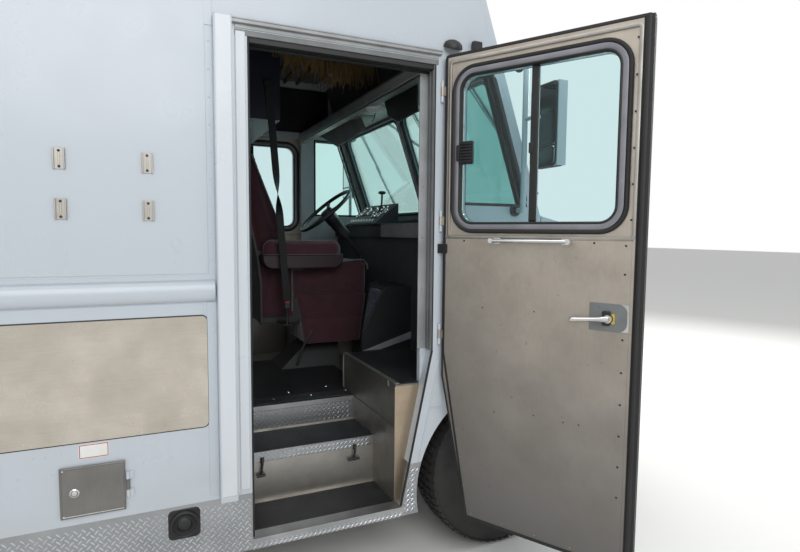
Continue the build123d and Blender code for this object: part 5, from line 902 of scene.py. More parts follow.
def pad(name, shape, body, material, swell_mm, voxel_mm=8.5):
    """Foam pad: a closed form remeshed evenly and swelled by air pressure, its movement capped."""
    made = piece(shape, name, material, body)
    bpy.context.view_layer.objects.active = made
    made.parent = None
    even = made.modifiers.new("even", "REMESH")
    even.mode = "VOXEL"
    even.voxel_size = voxel_mm / 1000.0
    bpy.context.view_layer.update()
    graph = bpy.context.evaluated_depsgraph_get()
    made.data = bpy.data.meshes.new_from_object(made.evaluated_get(graph))
    made.modifiers.clear()
    start = [v.co.copy() for v in made.data.vertices]
    cloth = made.modifiers.new("cover", "CLOTH")
    cloth.settings.use_pressure = True
    cloth.settings.uniform_pressure_force = 4.0
    cloth.settings.effector_weights.gravity = 0.0
    cloth.settings.quality = 4
    cloth.point_cache.frame_start = 1
    cloth.point_cache.frame_end = 20
    for number in range(1, 21):
        scene.frame_set(number)
    graph = bpy.context.evaluated_depsgraph_get()
    swelled = made.evaluated_get(graph)
    ends = [v.co.copy() for v in swelled.data.vertices]
    made.modifiers.clear()
    for vertex, before, after in zip(made.data.vertices, start, ends):
        move = after - before
        if move.length > swell_mm / 1000.0:
            move = move.normalized() * swell_mm / 1000.0
        vertex.co = before + move
    scene.frame_set(1)
    softer = made.modifiers.new("softer", "SUBSURF")
    softer.levels = 1
    softer.render_levels = 1
    graph = bpy.context.evaluated_depsgraph_get()
    made.data = bpy.data.meshes.new_from_object(made.evaluated_get(graph))
    made.modifiers.clear()
    made.data.shade_smooth()
    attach(made, body)
    return made


def profile_solid(shape, profile, low, high, edge=18):
    """Form of a side profile between two Y levels, with its long edges rolled over."""
    side = stand((0, 0, 0), (1, 0, 0), (0, 0, 1), (0, 1, 0))
    ring = profile
    levels = ((edge, low), (edge * 0.3, low + edge * 0.3), (0, low + edge), (0, high - edge),
              (edge * 0.3, high - edge * 0.3), (edge, high))
    skin(shape, [[side @ Vector((p[0], p[1], level)) for p in inset(ring, deep)] for deep, level in levels])


SEAT_LOW_Y = 206.0
SEAT_HIGH_Y = 694.0
cushion_form = [(-770, 1186), (-243, 1186), (-240, 1300), (-236, 1404), (-272, 1444), (-420, 1434),
                (-770, 1386)]
cushion_shape = bmesh.new()
profile_solid(cushion_shape, cushion_form, SEAT_LOW_Y, SEAT_HIGH_Y)
cushion = pad("seat_cushion", cushion_shape, "truck", seat_cloth, 9)
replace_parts(cushion, "seat_pads")
back_form = [(-784, 1072), (-784, 1370), (-816, 1560), (-892, 1757), (-1003, 2040), (-1043, 2146),
             (-1085, 2160), (-1124, 2128), (-1080, 1860), (-1006, 1500), (-981, 1300), (-981, 1072)]
back_shape = bmesh.new()
profile_solid(back_shape, back_form[::-1], SEAT_LOW_Y + 14, SEAT_HIGH_Y - 14)
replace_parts(pad("seat_back", back_shape, "truck", seat_cloth, 9), "seat_pads")

# Skirt of the seat cover: the same maroon cloth, sewn to the cushion's edge.
# It hangs free to its hem in shallow folds.
skirt_shape = bmesh.new()


def skirt_ring(height, out):
    """Points round the seat at one height of the hanging cover, with its shallow folds."""
    share = (1196 - height) / (1196 - 868)
    rear = -745 + share * 57
    front = -240 - share * 36
    corners = rounded((rear, SEAT_LOW_Y), (front, SEAT_HIGH_Y), 34, 6)
    ring = []
    for number, (x, y) in enumerate(corners):
        following = corners[(number + 1) % len(corners)]
        length = math.hypot(following[0] - x, following[1] - y)
        pieces = max(1, int(length / 14))
        for step in range(pieces):
            u = step / pieces
            ring.append((x + (following[0] - x) * u, y + (following[1] - y) * u))
    count = len(ring)
    folded = []
    for number, (x, y) in enumerate(ring):
        wave = noise(Vector((x * 0.012, y * 0.012, height * 0.0025))) * 9 * share
        ahead_x, ahead_y = ring[(number + 1) % count]
        back_x, back_y = ring[number - 1]
        normal = Vector((ahead_y - back_y, back_x - ahead_x)).normalized()
        folded.append((x + normal.x * (wave + out), y + normal.y * (wave + out), height))
    return folded


heights = [1204, 1190, 1172, 1150, 1100, 1042, 1038, 1034, 980, 930, 900, 880, 872, 868]
outward = [-2, 3, 4, 3, 2, 2, -1.2, 2, 1, 1, 1, 2, 2.5, 0]
outer_rings = []
station_count = len(skirt_ring(1196, 0))
for height, out in zip(heights, outward):
    ring = skirt_ring(height, out)
    if len(ring) != station_count:
        ring = [ring[min(len(ring) - 1, int(i * len(ring) / station_count))] for i in range(station_count)]
    outer_rings.append(ring)
inner_rings = []
for height in heights[::-1]:
    ring = skirt_ring(height, -3.5)
    if len(ring) != station_count:
        ring = [ring[min(len(ring) - 1, int(i * len(ring) / station_count))] for i in range(station_count)]
    inner_rings.append(ring)
skin(skirt_shape, outer_rings + inner_rings, around=True)
seat_skirt = piece(skirt_shape, "seat_skirt", seat_cloth, angle=70)
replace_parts(seat_skirt, "seat_pads")

# Seat piping: grey vinyl cord sewn into the edges of the cushion and the backrest.
# It follows the two sides and the front edge.
piping = bmesh.new()
for y in (SEAT_LOW_Y + 2, SEAT_HIGH_Y - 2):
    top_line = [(-768, y, 1388), (-600, y, 1412), (-420, y, 1438), (-300, y, 1450), (-262, y, 1446),
                (-234, y, 1418), (-230, y, 1380)]
    tube(piping, top_line, 5.0, 10, (0, 1, 0))
    tube(piping, [(x - 6, y, z) for x, z in
                  ((-776, 1100), (-776, 1370), (-808, 1560), (-884, 1757), (-996, 2040), (-1036, 2146))],
         5.0, 10, (0, 1, 0))
tube(piping, [(-229, y, 1412) for y in spaced(SEAT_LOW_Y + 6, SEAT_HIGH_Y - 6, 40)], 5.0, 10)
piece(piping, "seat_piping", grey_piping)

# Armrest: a foam pad in woven cloth on a steel pivot, its lower half wrapped in darker vinyl.
# A seam joins the two; the oval badge is left off.
arm_shape = bmesh.new()
ARM_SIDE = stand((0, 0, 0), (1, 0, 0), (0, 0, 1), (0, 1, 0))
plate(arm_shape, ARM_SIDE, rounded((-994, 1408), (-456, 1594), 66, 6), 107, 183, 22)
arm = pad("armrest_pad", arm_shape, "armrest", arm_cloth, 7, 7.0)
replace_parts(arm, "armrest")
arm_vinyl = flat_coat("dark_arm_vinyl", "2D1A21", "25151B", 0.5, 2.5, 0.2)
wrap = bmesh.new()
arm_outline = rounded((-999, 1399), (-451, 1600), 68, 8)
lower_rear = sorted([p for p in arm_outline if p[1] < 1490 and p[0] < -700], key=lambda p: -p[1])
lower_front = sorted([p for p in arm_outline if p[1] < 1490 and p[0] >= -700], key=lambda p: (p[1], p[0]))
outline = [(-998.5, 1492)] + lower_rear + lower_front + [(-451.5, 1492)]
plate(wrap, ARM_SIDE, outline, 94.5, 195.5, 7)
piece(wrap, "armrest_vinyl_wrap", arm_vinyl, "armrest")
arm_seam = bmesh.new()
tube(arm_seam, [(-996, 95.5, 1493), (-454, 95.5, 1493)], 2.4, 8, (0, 1, 0))
piece(arm_seam, "armrest_seam", grey_piping, "armrest")

# Lap-and-shoulder belt: black woven polyester webbing, anchored at the locker and at the seat frame.
# It hangs free between them and is twisted once on its way.
belt_top, belt_foot = Vector((-975, -14, 2550)), Vector((-850, 60, 1180))
belt = bmesh.new()
belt_rings = []
for number in range(91):
    share = number / 90
    turn_share = min(1, max(0, (share - 0.36) / 0.30))
    twist = math.radians(8 + 180 * turn_share * turn_share * (3 - 2 * turn_share))
    middle = belt_top.lerp(belt_foot, share)
    along = (belt_foot - belt_top).normalized()
    wide = Vector((math.cos(twist), math.sin(twist), 0))
    wide = (wide - along * wide.dot(along)).normalized()
    thin = along.cross(wide)
    belt_rings.append([middle + wide * a + thin * b
                       for a, b in ((-23.5, -1.1), (23.5, -1.1), (23.5, 1.1), (-23.5, 1.1))])
skin(belt, belt_rings)
belt_piece = piece(belt, "seat_belt_webbing", webbing)
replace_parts(belt_piece, "seat_belt")
buckle = bmesh.new()
slab(buckle, (-872, 52, 1140), (-828, 70, 1196), 4)
tube(buckle, [(-850, 66, 1142), (-852, 70, 1080)], 7, 10, (0, 1, 0))
slab(buckle, (-1003, -22, 2528), (-947, -8, 2566), 2)
piece(buckle, "belt_anchors", moulded_black)
button = bmesh.new()
slab(button, (-864, 49.5, 1178), (-836, 54, 1192), 1.5)
red_plastic = flat_coat("red_buckle_button", "8E1B1B", "7A1616", 0.4, 2.0, 0.05)
piece(button, "buckle_button", red_plastic)


# Steering wheel: a black rim moulded over steel, on three pressed spokes with a horn boss.
# It is keyed to the column, whose shroud and turn-signal stalk stay still.
RIM_NORMAL = Vector((-0.6561, 0, 0.7547))
RIM_UP = Vector((0.7547, 0, 0.6561))
RIM = stand((-470, 450, 1799), (0, -1, 0), RIM_UP, RIM_NORMAL)
rim = bmesh.new()
circle = [RIM @ Vector((222 * math.cos(t), 222 * math.sin(t), 0))
          for t in [math.radians(a) for a in range(0, 360, 6)]]
tube(rim, circle, 13.5, 14, RIM_NORMAL, around=True)
for turn_angle in (270, 30, 150):
    t = math.radians(turn_angle)
    points = [RIM @ Vector((r * math.cos(t), r * math.sin(t), h))
              for r, h in ((26, -16), (90, -14), (160, -8), (216, -1))]
    run(rim, points, [(-15, -3), (15, -3), (12, 4), (-12, 4)], RIM_NORMAL)
turned(rim, RIM @ Vector((0, 0, -34)), RIM_NORMAL,
       ((30, 0), (46, 6), (50, 20), (47, 32), (38, 37), (36, 34), (28, 35), (12, 40)), 36)
wheel_piece = piece(rim, "steering_wheel_moulding", moulded_black, "steering_wheel", angle=50)
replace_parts(wheel_piece, "steering_wheel")
column = bmesh.new()
turned(column, RIM @ Vector((0, 0, -42)), -RIM_NORMAL,
       ((44, 0), (50, 8), (50, 60), (46, 66), (44, 130), (38, 136), (36, 200)), 28)
tube(column, [RIM @ Vector(p) for p in ((-40, 0, -80), (-150, 20, -66), (-176, 22, -62))], 5, 10)
turned(column, RIM @ Vector((-170, 22, -63)), RIM @ Vector((-200, 24, -60)) - RIM @ Vector((-170, 22, -63)),
       ((5, 0), (9, 4), (9, 30), (5, 34)), 14)
piece(column, "column_shroud", moulded_black)

# Instruments: gauges in chromed rings, toggle switches and a shift lever on a black steel wedge.
# The wedge is screwed to a grey enamelled ledge; the dials carry plain marks without words.
CLUSTER = stand((-130, 400, 1780.5), (0, -1, 0), (0.766, 0, 0.643))
black_dash = flat_coat("black_wrinkle_paint", "1C1D1F", "242527", 0.55, 1.5, 0.25)
coat_node("dashboard", black_dash)
dial_white = flat_coat("dial_white_print", "D8D8D2", "CFCFC8", 0.5, 2.0, 0.01)
bezels, dials, marks, hands = bmesh.new(), bmesh.new(), bmesh.new(), bmesh.new()
GAUGES = ((-150, 30, 54), (-20, 30, 54), (95, 58, 30), (95, -18, 30), (172, 58, 30), (172, -18, 30),
          (-230, 60, 26), (-230, -10, 26), (240, 20, 26))
cluster_out = CLUSTER.to_3x3() @ Vector((0, 0, 1))
for x, y, radius in GAUGES:
    centre = CLUSTER @ Vector((x, y, 0))
    moulding(bezels, CLUSTER, disc((x, y), radius, 28), ((0, -1), (0, 3), (2, 6), (5, 5), (6, 2), (6, -1)))
    turned(dials, centre, cluster_out, ((radius - 5, -1), (radius - 5, 1.4)), 28)
    for mark in range(11):
        t = math.radians(225 - mark * 27)
        inner, outer = radius * 0.66, radius * 0.80
        start = CLUSTER @ Vector((x + inner * math.cos(t), y + inner * math.sin(t), 1.7))
        end = CLUSTER @ Vector((x + outer * math.cos(t), y + outer * math.sin(t), 1.7))
        run(marks, [start, end], [(-0.9, -0.4), (0.9, -0.4), (0.9, 0.4), (-0.9, 0.4)], cluster_out)
    t = math.radians(200 - (radius * 7 + x) % 90)
    end = CLUSTER @ Vector((x + radius * 0.6 * math.cos(t), y + radius * 0.6 * math.sin(t), 3))
    run(hands, [CLUSTER @ Vector((x, y, 3)), end], [(-1.1, -0.5), (1.1, -0.5), (1.1, 0.5), (-1.1, 0.5)],
        cluster_out)
for number in range(9):
    x = -250 + number * 56
    slab(bezels, (x - 8, -94, -0.5), (x + 8, -70, 3), 1, CLUSTER)
    tube(bezels, [CLUSTER @ Vector((x, -82, 2)), CLUSTER @ Vector((x, -76, 16))], 3.2, 10)
piece(bezels, "gauge_bezels_and_switches", chrome)
piece(dials, "gauge_dials", moulded_black)
piece(marks, "gauge_marks", dial_white)
piece(hands, "gauge_hands", red_plastic)
lever = bmesh.new()
tube(lever, [(-92, 300, 1790), (-84, 300, 1850), (-80, 300, 1930)], 7, 12)
slab(lever, (-104, 276, 1926), (-58, 324, 1948), 6)
turned(lever, (-92, 300, 1778), (0, 0, 1), ((34, 0), (34, 6), (26, 16), (14, 34), (9, 44)), 20)
piece(lever, "shift_lever", moulded_black)
ledge_grey = flat_coat("grey_dash_enamel", "85878A", "77797C", 0.45, 2.0, 0.06)
ledge = bmesh.new()
slab(ledge, (-176, -1126, 1612), (-172.4, 96, 1698), 1.2)
slab(ledge, (-178, -1126, 1696), (-120, 96, 1703.5), 1.5)
slab(ledge, (-178, 704, 1696), (-120, 1126, 1703.5), 1.5)
for low, high in ((-1100, -700), (-660, -320), (-280, 40)):
    moulding(ledge, facing_rear(-176),
             rounded((-high, 1626), (-low, 1684), 8, 3),
             ((0, -1), (0, 1.8), (5, 2.2), (7, 0), (7, -1)))
piece(ledge, "dash_ledge", ledge_grey)
dash_screws = bmesh.new()
FASCIA = facing_rear(-176)
studs(dash_screws, FASCIA, [(y, z) for y in spaced(-60, 1100, 116) for z in (1619, 1691)], 4.5, 2.0, 10)
piece(dash_screws, "dash_screws", mill_aluminium)

# Engine cover: moulded black fibreglass over the engine, screwed along its side.
# A glossy heater panel in a rubber frame sits in its sloping rear face, over a grey foot bar.
heater = bmesh.new()
slope = Vector((159, 0, 293)).normalized()
PANEL = stand((-483, -350, 1011), (0, 1, 0), slope, Vector((-293, 0, 159)))
plate(heater, PANEL, [(14, 36), (22, 36), (236, 312), (14, 312)], 0, 3, 1)
heater_glass = flat_coat("blue_grey_glossy_panel", "7E8E9B", "6C7C8A", 0.18, 60.0, 0.02, 0.6)
piece(heater, "heater_panel", heater_glass)
heater_frame = bmesh.new()
moulding(heater_frame, PANEL, [(6, 18), (20, 18), (250, 322), (6, 322)],
         ((0, -1), (1, 6), (9, 7), (12, 4), (12, -1)))
for z in (1060, 1180, 1290):
    studs(heater_frame, facing_kerb(-350), ((-200, z), (-280, z - 20)), 5, 2, 10)
piece(heater_frame, "heater_panel_frame", seal_rubber)
toe_bar = bmesh.new()
plate(toe_bar, facing_kerb(-351),
      [(-366, 912), (-131, 971), (-131, 1018), (-480, 912)], 0, 8, 2)
piece(toe_bar, "cover_foot_bar", ledge_grey)

# Windscreen and quarter panes: flat glass held in extruded black rubber, inside and out.
# A grey locking strip is pressed into the rubber, and folded aluminium covers the pillars.
SCREEN = stand((157.75, 0, 1795), (0, 1, 0), (-0.3304, 0, 0.9439))
screen_seals = bmesh.new()
screen_strips = bmesh.new()
for low, high in ((35, 1085), (-1085, -35)):
    opening = rounded((low, 0), (high, 667.5), 50, 6)
    for base, out in ((0, 1), (-35, -1)):
        section = ((-12, base), (-11, base + out * 4), (-6, base + out * 6), (1, base + out * 5), (3, base))
        moulding(screen_seals, SCREEN, opening, section + ((3, -14 if out > 0 else -20),))
    moulding(screen_strips, SCREEN, opening, ((-8, 5.5), (-7.5, 7.5), (-4, 7.5), (-3.5, 5.5)))
quarter = [(-350, 1790), (79, 1790), (-137, 2410), (-350, 2410)]
for side in (-1, 1):
    for level, out in ((HALF, 1), (1130, -1)):
        face = stand((0, side * level, 0), (1, 0, 0), (0, 0, 1), (0, side * out, 0))
        moulding(screen_seals, face, quarter, ((-11, 0), (-10, 4), (-5, 6), (1, 5), (3, 1), (3, -26),
                                               (0, -26)))
piece(screen_seals, "glazing_seals", seal_rubber, angle=50)
piece(screen_strips, "glazing_strips", lilac_aluminium)
pillars = bmesh.new()
for y in (1104, 0, -1104):
    run(pillars, [SCREEN @ Vector((y, -10, -43)), SCREEN @ Vector((y, 690, -43))],
        [(-12, -5), (12, -5), (9, 4), (-9, 4)],
        (1, 0, 0))
piece(pillars, "pillar_covers", weathered_channel)

# Roof inside the cab: dark sheets over the roof and the upper walls as painted shade, behind a screwed
# aluminium beam, sun visors and a dome lamp.
# Bamboo poles are tied under it, and dried palm straw hangs from them in loose rows.
# Painted shade: dark cloth sheets line the cab roof, the upper walls and the top of the screen, where the
# cab is in shade.
shade_lining = cushion_cloth("dark_lining_painted_shade", "26282B", "1B1C1F")
slabs("cab_lining_painted_shade", shade_lining, (
    ((-1286, -1118, 2880), (-330, 1118, 2892), 3),
    ((-1286, 1120, 2470), (-330, 1128, 2826), 3),
    ((-1118, 690, -52), (1118, 1120, -44), 3, SCREEN),
    ((-484, -1128, 2470), (-240, -1122, 2826), 2),
    ((-484, 1122, 2470), (-240, 1128, 2826), 2),
    ((-1296, -1128, 2470), (-1290, 1128, 2878), 2)))
beam_cover = bmesh.new()
slab(beam_cover, (-493, -1127, 2398), (-489.5, 1127, 2446), 1)
slab(beam_cover, (-494, -1127, 2392), (-484, 1127, 2399), 1.5)
BEAM = facing_rear(-493)
studs(beam_cover, BEAM, [(y, 2420) for y in spaced(-1080, 1080, 180)], 5, 2, 10)
piece(beam_cover, "beam_cover", weathered_channel)
visor_grey = flat_coat("grey_visor_vinyl", "7A7B79", "6B6C6A", 0.6, 3.0, 0.15)
visors = bmesh.new()
VISOR = stand((-352, 0, 0), (0, 1, 0), (0, 0, 1), (-1, 0, 0))
plate(visors, VISOR, [(-61, 2326), (120, 2300), (519, 2281), (1016, 2445), (337, 2458), (60, 2440)],
      -6, 8, 4)
piece(visors, "left_sun_visor", visor_grey)
right_visor = bmesh.new()
plate(right_visor, VISOR, [(-836, 2286), (-589, 2275), (-443, 2330), (-390, 2420), (-400, 2452),
                           (-823, 2452)], -6, 8, 4)
piece(right_visor, "right_sun_visor", moulded_black)
white_lamp = flat_coat("frosted_lamp_lens", "C9CBCB", "BDBFBF", 0.35, 6.0, 0.1)
dome = bmesh.new()
turned(dome, (-428, -400, 2394), (0, 0, -1), ((62, 0), (62, 6), (56, 12), (52, 12), (46, 26), (28, 36),
                                              (8, 39)), 32)
piece(dome, "dome_lamp", white_lamp)
hook = bmesh.new()
tube(hook, [(-352, -250, 2440), (-350, -225, 2400), (-350, -205, 2362), (-356, -190, 2350),
            (-360, -200, 2342)], 3, 8)
piece(hook, "visor_hook", chassis_black)
rafters = bmesh.new()
for number, x in enumerate(spaced(-1240, -520, 102)):
    tube(rafters, [(x, -1090, 2862 + number % 2 * 4), (x, 0, 2858), (x + 6, 1100, 2862)], 13, 10)
piece(rafters, "bamboo_rafters", palm_straw)
straw = bmesh.new()
random.seed(4)
for row, y_middle in enumerate((-150, -90, -30, 40, 110)):
    for x in spaced(-880, -330, 8.5):
        foot = Vector((x + random.uniform(-6, 6), y_middle + random.uniform(-22, 22), 2874))
        length = random.uniform(150, 285) * (1.1 if x > -640 else 0.85)
        if x > -500:
            length = min(length, 300)
        swing_x, swing_y = random.uniform(-38, 38), random.uniform(-30, 30)
        line = [foot + Vector((swing_x * u * u, swing_y * u * u, -length * u)) for u in (0, 0.35, 0.7, 1.0)]
        if line[-1].x > -500:
            line = [p for p in line if p.z > 2560] or line[:2]
        if len(line) < 2:
            continue
        width = random.uniform(1.6, 3.4)
        run(straw, line, [(-width, -0.5), (width, -0.5), (width * 0.6, 0.5), (-width * 0.6, 0.5)],
            (0.3, 1, 0))
for number in range(16):
    tube(straw, [(-905 + number * 17, -62, 2870), (-905 + number * 17 + 60, -58, 2700)], 3.0, 5, (0, 1, 0))
    tube(straw, [(-645 - number * 17, -66, 2870), (-645 - number * 17 - 60, -62, 2700)], 3.0, 5, (0, 1, 0))
straw_piece = piece(straw, "straw_fringe", palm_straw, angle=60)
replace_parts(straw_piece, "thatch_valance")

# Cab floor and wheelhouse: black ribbed rubber matting, glued down and edged with folded aluminium.
# The seat rides on steel slides above its pedestal, with a lever beside it.
floor_mat = bmesh.new()
slab(floor_mat, (-1286, -398, 696), (-486, 540, 699.5), 1)
slab(floor_mat, (-598, -1122, 907), (-165, -372, 911), 1)
for x in spaced(-590, -172, 12):
    slab(floor_mat, (x - 2.5, -1118, 910.5), (x + 2.5, -376, 913), 0.8)
piece(floor_mat, "floor_mats", tread_rubber)
slabs("wheelhouse_edging", mill_aluminium, (
    ((-606.5, -1040, 880), (-602.5, -552, 912.5), 1),
    ((-606.5, -1122, 909), (-580, -352, 913.5), 1),
    ((-606.5, -352.5, 700), (-600, -346, 905), 1)))
# Painted sunlight: a warm tan brushed sheet on the wheelhouse's outer taper stands in for sun falling on
# that face.
sunlit_tan_sheet = brushed("tan_aluminium_painted_sunlight", "BFAF9A", "9A8B78", (1, 1, 30), (0.35, 0.5))
taper = bmesh.new()
plate(taper, facing_kerb(-1133),
      [(-611, 345), (-582, 330), (-468, 893), (-468, 903), (-611, 903)], 0, 3, 0.8)
piece(taper, "wheelhouse_outer_sheet", sunlit_tan_sheet)
bolts = bmesh.new()
FLOOR = stand((0, 0, 699.5), (1, 0, 0), (0, 1, 0))
studs(bolts, FLOOR, ((-1047, -439), (-833, -443), (-618, -429), (-533, -269), (-940, -340), (-700, -300)),
      9, 4, 12)
piece(bolts, "floor_bolts", chrome)
seat_works = bmesh.new()
tube(seat_works, [(-745, 222, 720), (-700, 210, 860), (-640, 208, 960)], 9, 10)
slab(seat_works, (-990, 262, 1012), (-300, 286, 1030), 2)
slab(seat_works, (-990, 614, 1012), (-300, 638, 1030), 2)
tube(seat_works, [(-300, 420, 1020), (-262, 420, 1014), (-250, 480, 1014)], 6, 10)
piece(seat_works, "seat_slides_and_lever", chassis_black)


# Tyres: radial truck tyres of black rubber, moulded with ribs, tread blocks and rounded shoulders.
# Each ring of tread and walls is seated on its rim by the bead; the rear ones run in pairs.
TYRE_PROFILE = ((171, -93), (166, -103), (140, -112), (95, -118), (52, -117), (28, -110), (14, -101),
                (8, -92), (8, -66), (19, -64), (19, -56), (8, -54), (8, -20), (19, -18), (19, -10),
                (8, -8), (8, 8), (19, 10), (19, 18), (8, 20), (8, 54), (19, 56), (19, 64), (8, 66),
                (8, 92), (14, 101), (28, 110), (52, 117), (95, 118), (140, 112), (166, 103), (171, 93))
TYRE_R = 420
FRONT_Y = 1060
TWIN_Y = (740, 1020)


def dress_tyre(shape, x, y):
    """One tyre about an axle line: its body as a ring and its raised tread blocks."""
    place = stand((x, y, TYRE_R), (1, 0, 0), (0, 0, 1), (0, 1, 0))
    moulding(shape, place, disc((0, 0), TYRE_R, 72), TYRE_PROFILE)
    for number in range(60):
        t = math.radians(number * 6)
        radial = Vector((math.cos(t), 0, math.sin(t)))
        across = Vector((-math.sin(t), 0, math.cos(t)))
        centre = Vector((x, y, TYRE_R))
        for low, high, skew in ((-110, -67, 4), (-53, -21, -4), (21, 53, 4), (67, 110, -4), (-8, 8, 0)):
            ends = []
            for along, shift in ((low, -skew), (high, skew)):
                drop = 411 if abs(along) < 100 else 402
                ends.append(centre + radial * drop + Vector((0, along, 0)) + across * shift)
            run(shape, ends, [(-15, 0), (15, 0), (13.5, 8), (-13.5, 8)], radial)


for side_name, side in (("left", 1), ("right", -1)):
    tyre = bmesh.new()
    dress_tyre(tyre, 0, side * FRONT_Y)
    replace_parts(piece(tyre, "front_tread_" + side_name, tyre_rubber, "front_wheel_" + side_name, 50),
                "front_tyre_" + side_name)
    twins = bmesh.new()
    for y in TWIN_Y:
        dress_tyre(twins, REAR_AXLE_X, side * y)
    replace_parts(piece(twins, "rear_treads_" + side_name, tyre_rubber, "rear_wheels_" + side_name, 50),
                "rear_tyres_" + side_name)

# Wheels: pressed steel discs in white enamel, welded into rims with a rolled lip.
# Ten chromed nuts hold each one to a cast hub under a bolted grease cap.
hub_grey = flat_coat("greasy_hub_casting", "55524D", "3C3A37", 0.55, 2.5, 0.3, 0.5)
for side_name, side in (("left", 1), ("right", -1)):
    for prefix, x, y, face, hub_r, hub_end in (("front", 0, side * FRONT_Y, 46, 60, 76),
                                                ("rear", REAR_AXLE_X, side * 1020, -46, 95, 52)):
        body = ("front_wheel_" if prefix == "front" else "rear_wheels_") + side_name
        place = stand((x, y, TYRE_R), (1, 0, 0), (0, 0, 1), (0, side, 0))
        nuts, rings, hub = bmesh.new(), bmesh.new(), bmesh.new()
        for number in range(10):
            t = math.radians(number * 36 + 18)
            centre = place @ Vector((132 * math.cos(t), 132 * math.sin(t), face - 1))
            turned(nuts, centre, Vector((0, side, 0)), ((17, 0), (17, 3), (13, 4), (13, 20), (10, 24),
                                                        (6, 25), (6, 31)), 6)
        tube(nuts, [place @ Vector(p) for p in ((200, 0, face), (196, 0, face + 22), (190, 0, face + 36))],
             5, 8)
        piece(nuts, f"{prefix}_wheel_nuts_{side_name}", chrome, body)
        moulding(rings, place, disc((0, 0), 240, 60), ((-6, 82), (-5, 88), (0, 91), (6, 89), (8, 84),
                                                       (6, 80)))
        moulding(rings, place, disc((0, 0), 196, 48), ((0, face - 2), (2, face + 3), (9, face + 4),
                                                       (14, face + 1), (15, face - 2)))
        piece(rings, f"{prefix}_wheel_pressings_{side_name}", rim_white, body)
        turned(hub, place @ Vector((0, 0, hub_end - 40)), Vector((0, side, 0)),
               ((hub_r + 6, 0), (hub_r + 6, 12), (hub_r, 15), (hub_r, 36), (hub_r - 8, 44),
                (hub_r - 30, 50), (14, 52)), 32)
        for number in range(8):
            t = math.radians(number * 45)
            centre = place @ Vector(((hub_r - 16) * math.cos(t), (hub_r - 16) * math.sin(t), hub_end + 4))
            turned(hub, centre, Vector((0, side, 0)), ((6.5, 0), (6.5, 6), (5, 7)), 6)
        piece(hub, f"{prefix}_hub_cap_{side_name}", hub_grey, body)

# Front: sealed-beam headlamps in chromed rings, amber and red lamps on black feet, and a slatted grille.
# Rubber latches hold the hood, a bead edges each arch, and bolts hold the black steel bumper.
lens_glass = flat_coat("fluted_headlamp_glass", "C6CCD0", "AEB5BA", 0.12, 9.0, 0.6, 0.35)
amber_lens = flat_coat("amber_marker_lens", "C8701A", "B05E12", 0.22, 5.0, 0.4)
red_lens = flat_coat("red_tail_lens", "96181A", "7C1214", 0.22, 5.0, 0.4)
lamp_rings, head_glass, ambers, reds, lamp_feet = (bmesh.new() for number in range(5))
for side in (-1, 1):
    face = stand((865, side * 850, 930), (0, 1, 0), (0, 0, 1))
    moulding(lamp_rings, face, disc((0, 0), 100, 48), ((-12, 0), (-11, 5), (-5, 10), (3, 8), (9, -2),
                                                       (11, -12), (4, -12)))
    turned(head_glass, face @ Vector((0, 0, -14)), (1, 0, 0),
           ((91, 0), (89, 7), (72, 15), (46, 20), (16, 22)), 40)
    for y in spaced(-70, 70, 14):
        reach = math.sqrt(84 * 84 - y * y)
        run(head_glass, [face @ Vector((y, -reach * 0.9, 2)), face @ Vector((y, 0, 7)),
                         face @ Vector((y, reach * 0.9, 2))],
            [(-2, -2), (2, -2), (0, 2)], (1, 0, 0))
    turn_lamp = stand((865, side * 850, 1070), (0, 1, 0), (0, 0, 1))
    plate(lamp_feet, turn_lamp, rounded((-70, -26), (70, 26), 10), -1, 4, 1)
    plate(ambers, turn_lamp, rounded((-62, -18), (62, 18), 8), 3, 18, 4)
    for z in (1020, 860):
        tail = facing_rear(-6435, side * 1110, z)
        moulding(lamp_feet, tail, disc((0, 0), 62, 36), ((0, -1), (1, 7), (5, 9), (9, 6), (9, -1)))
        turned(reds, tail.translation, (-1, 0, 0), ((53, 0), (53, 12), (48, 17), (30, 19), (12, 20)), 36)
for y in (-1000, -200, 0, 200, 1000):
    brow = stand((-119 + 0.35 * (2580 - 2700) + 4, y, 2700), (0, 1, 0), (-0.3304, 0, 0.9439))
    stern = facing_rear(-6435, y, 2700)
    for place, lens in ((brow, ambers), (stern, reds)):
        plate(lamp_feet, place, rounded((-45, -17), (45, 17), 7, 3), -8, 5, 1)
        plate(lens, place, rounded((-39, -13), (39, 13), 6, 3), 4, 17, 4)
piece(lamp_rings, "headlamp_rings", chrome)
piece(head_glass, "headlamp_lenses", lens_glass)
piece(ambers, "amber_lamps", amber_lens)
piece(reds, "red_lamps", red_lens)
piece(lamp_feet, "lamp_feet", moulded_black)
grille_trim = bmesh.new()
GRILLE_FACE = stand((866, 0, 0), (0, 1, 0), (0, 0, 1))
moulding(grille_trim, GRILLE_FACE, rounded((-528, 692), (528, 1188), 34),
         ((-6, -1), (-5, 5), (2, 8), (8, 4), (9, -26), (6, -26)))
for z in spaced(734, 1146, 51.5):
    run(grille_trim, [(846, -510, z), (846, 510, z)], [(-11, -6), (11, -9), (13, -4), (-9, 5)], (1, 0, 0))
for y in (-260, 0, 260):
    slab(grille_trim, (836, y - 5, 706), (842, y + 5, 1174), 1)
grille_grey = flat_coat("grey_grille_enamel", "8F9296", "7F8286", 0.4, 2.0, 0.08)
piece(grille_trim, "grille_slats", grille_grey)
nose_bits, nose_rubber = bmesh.new(), bmesh.new()
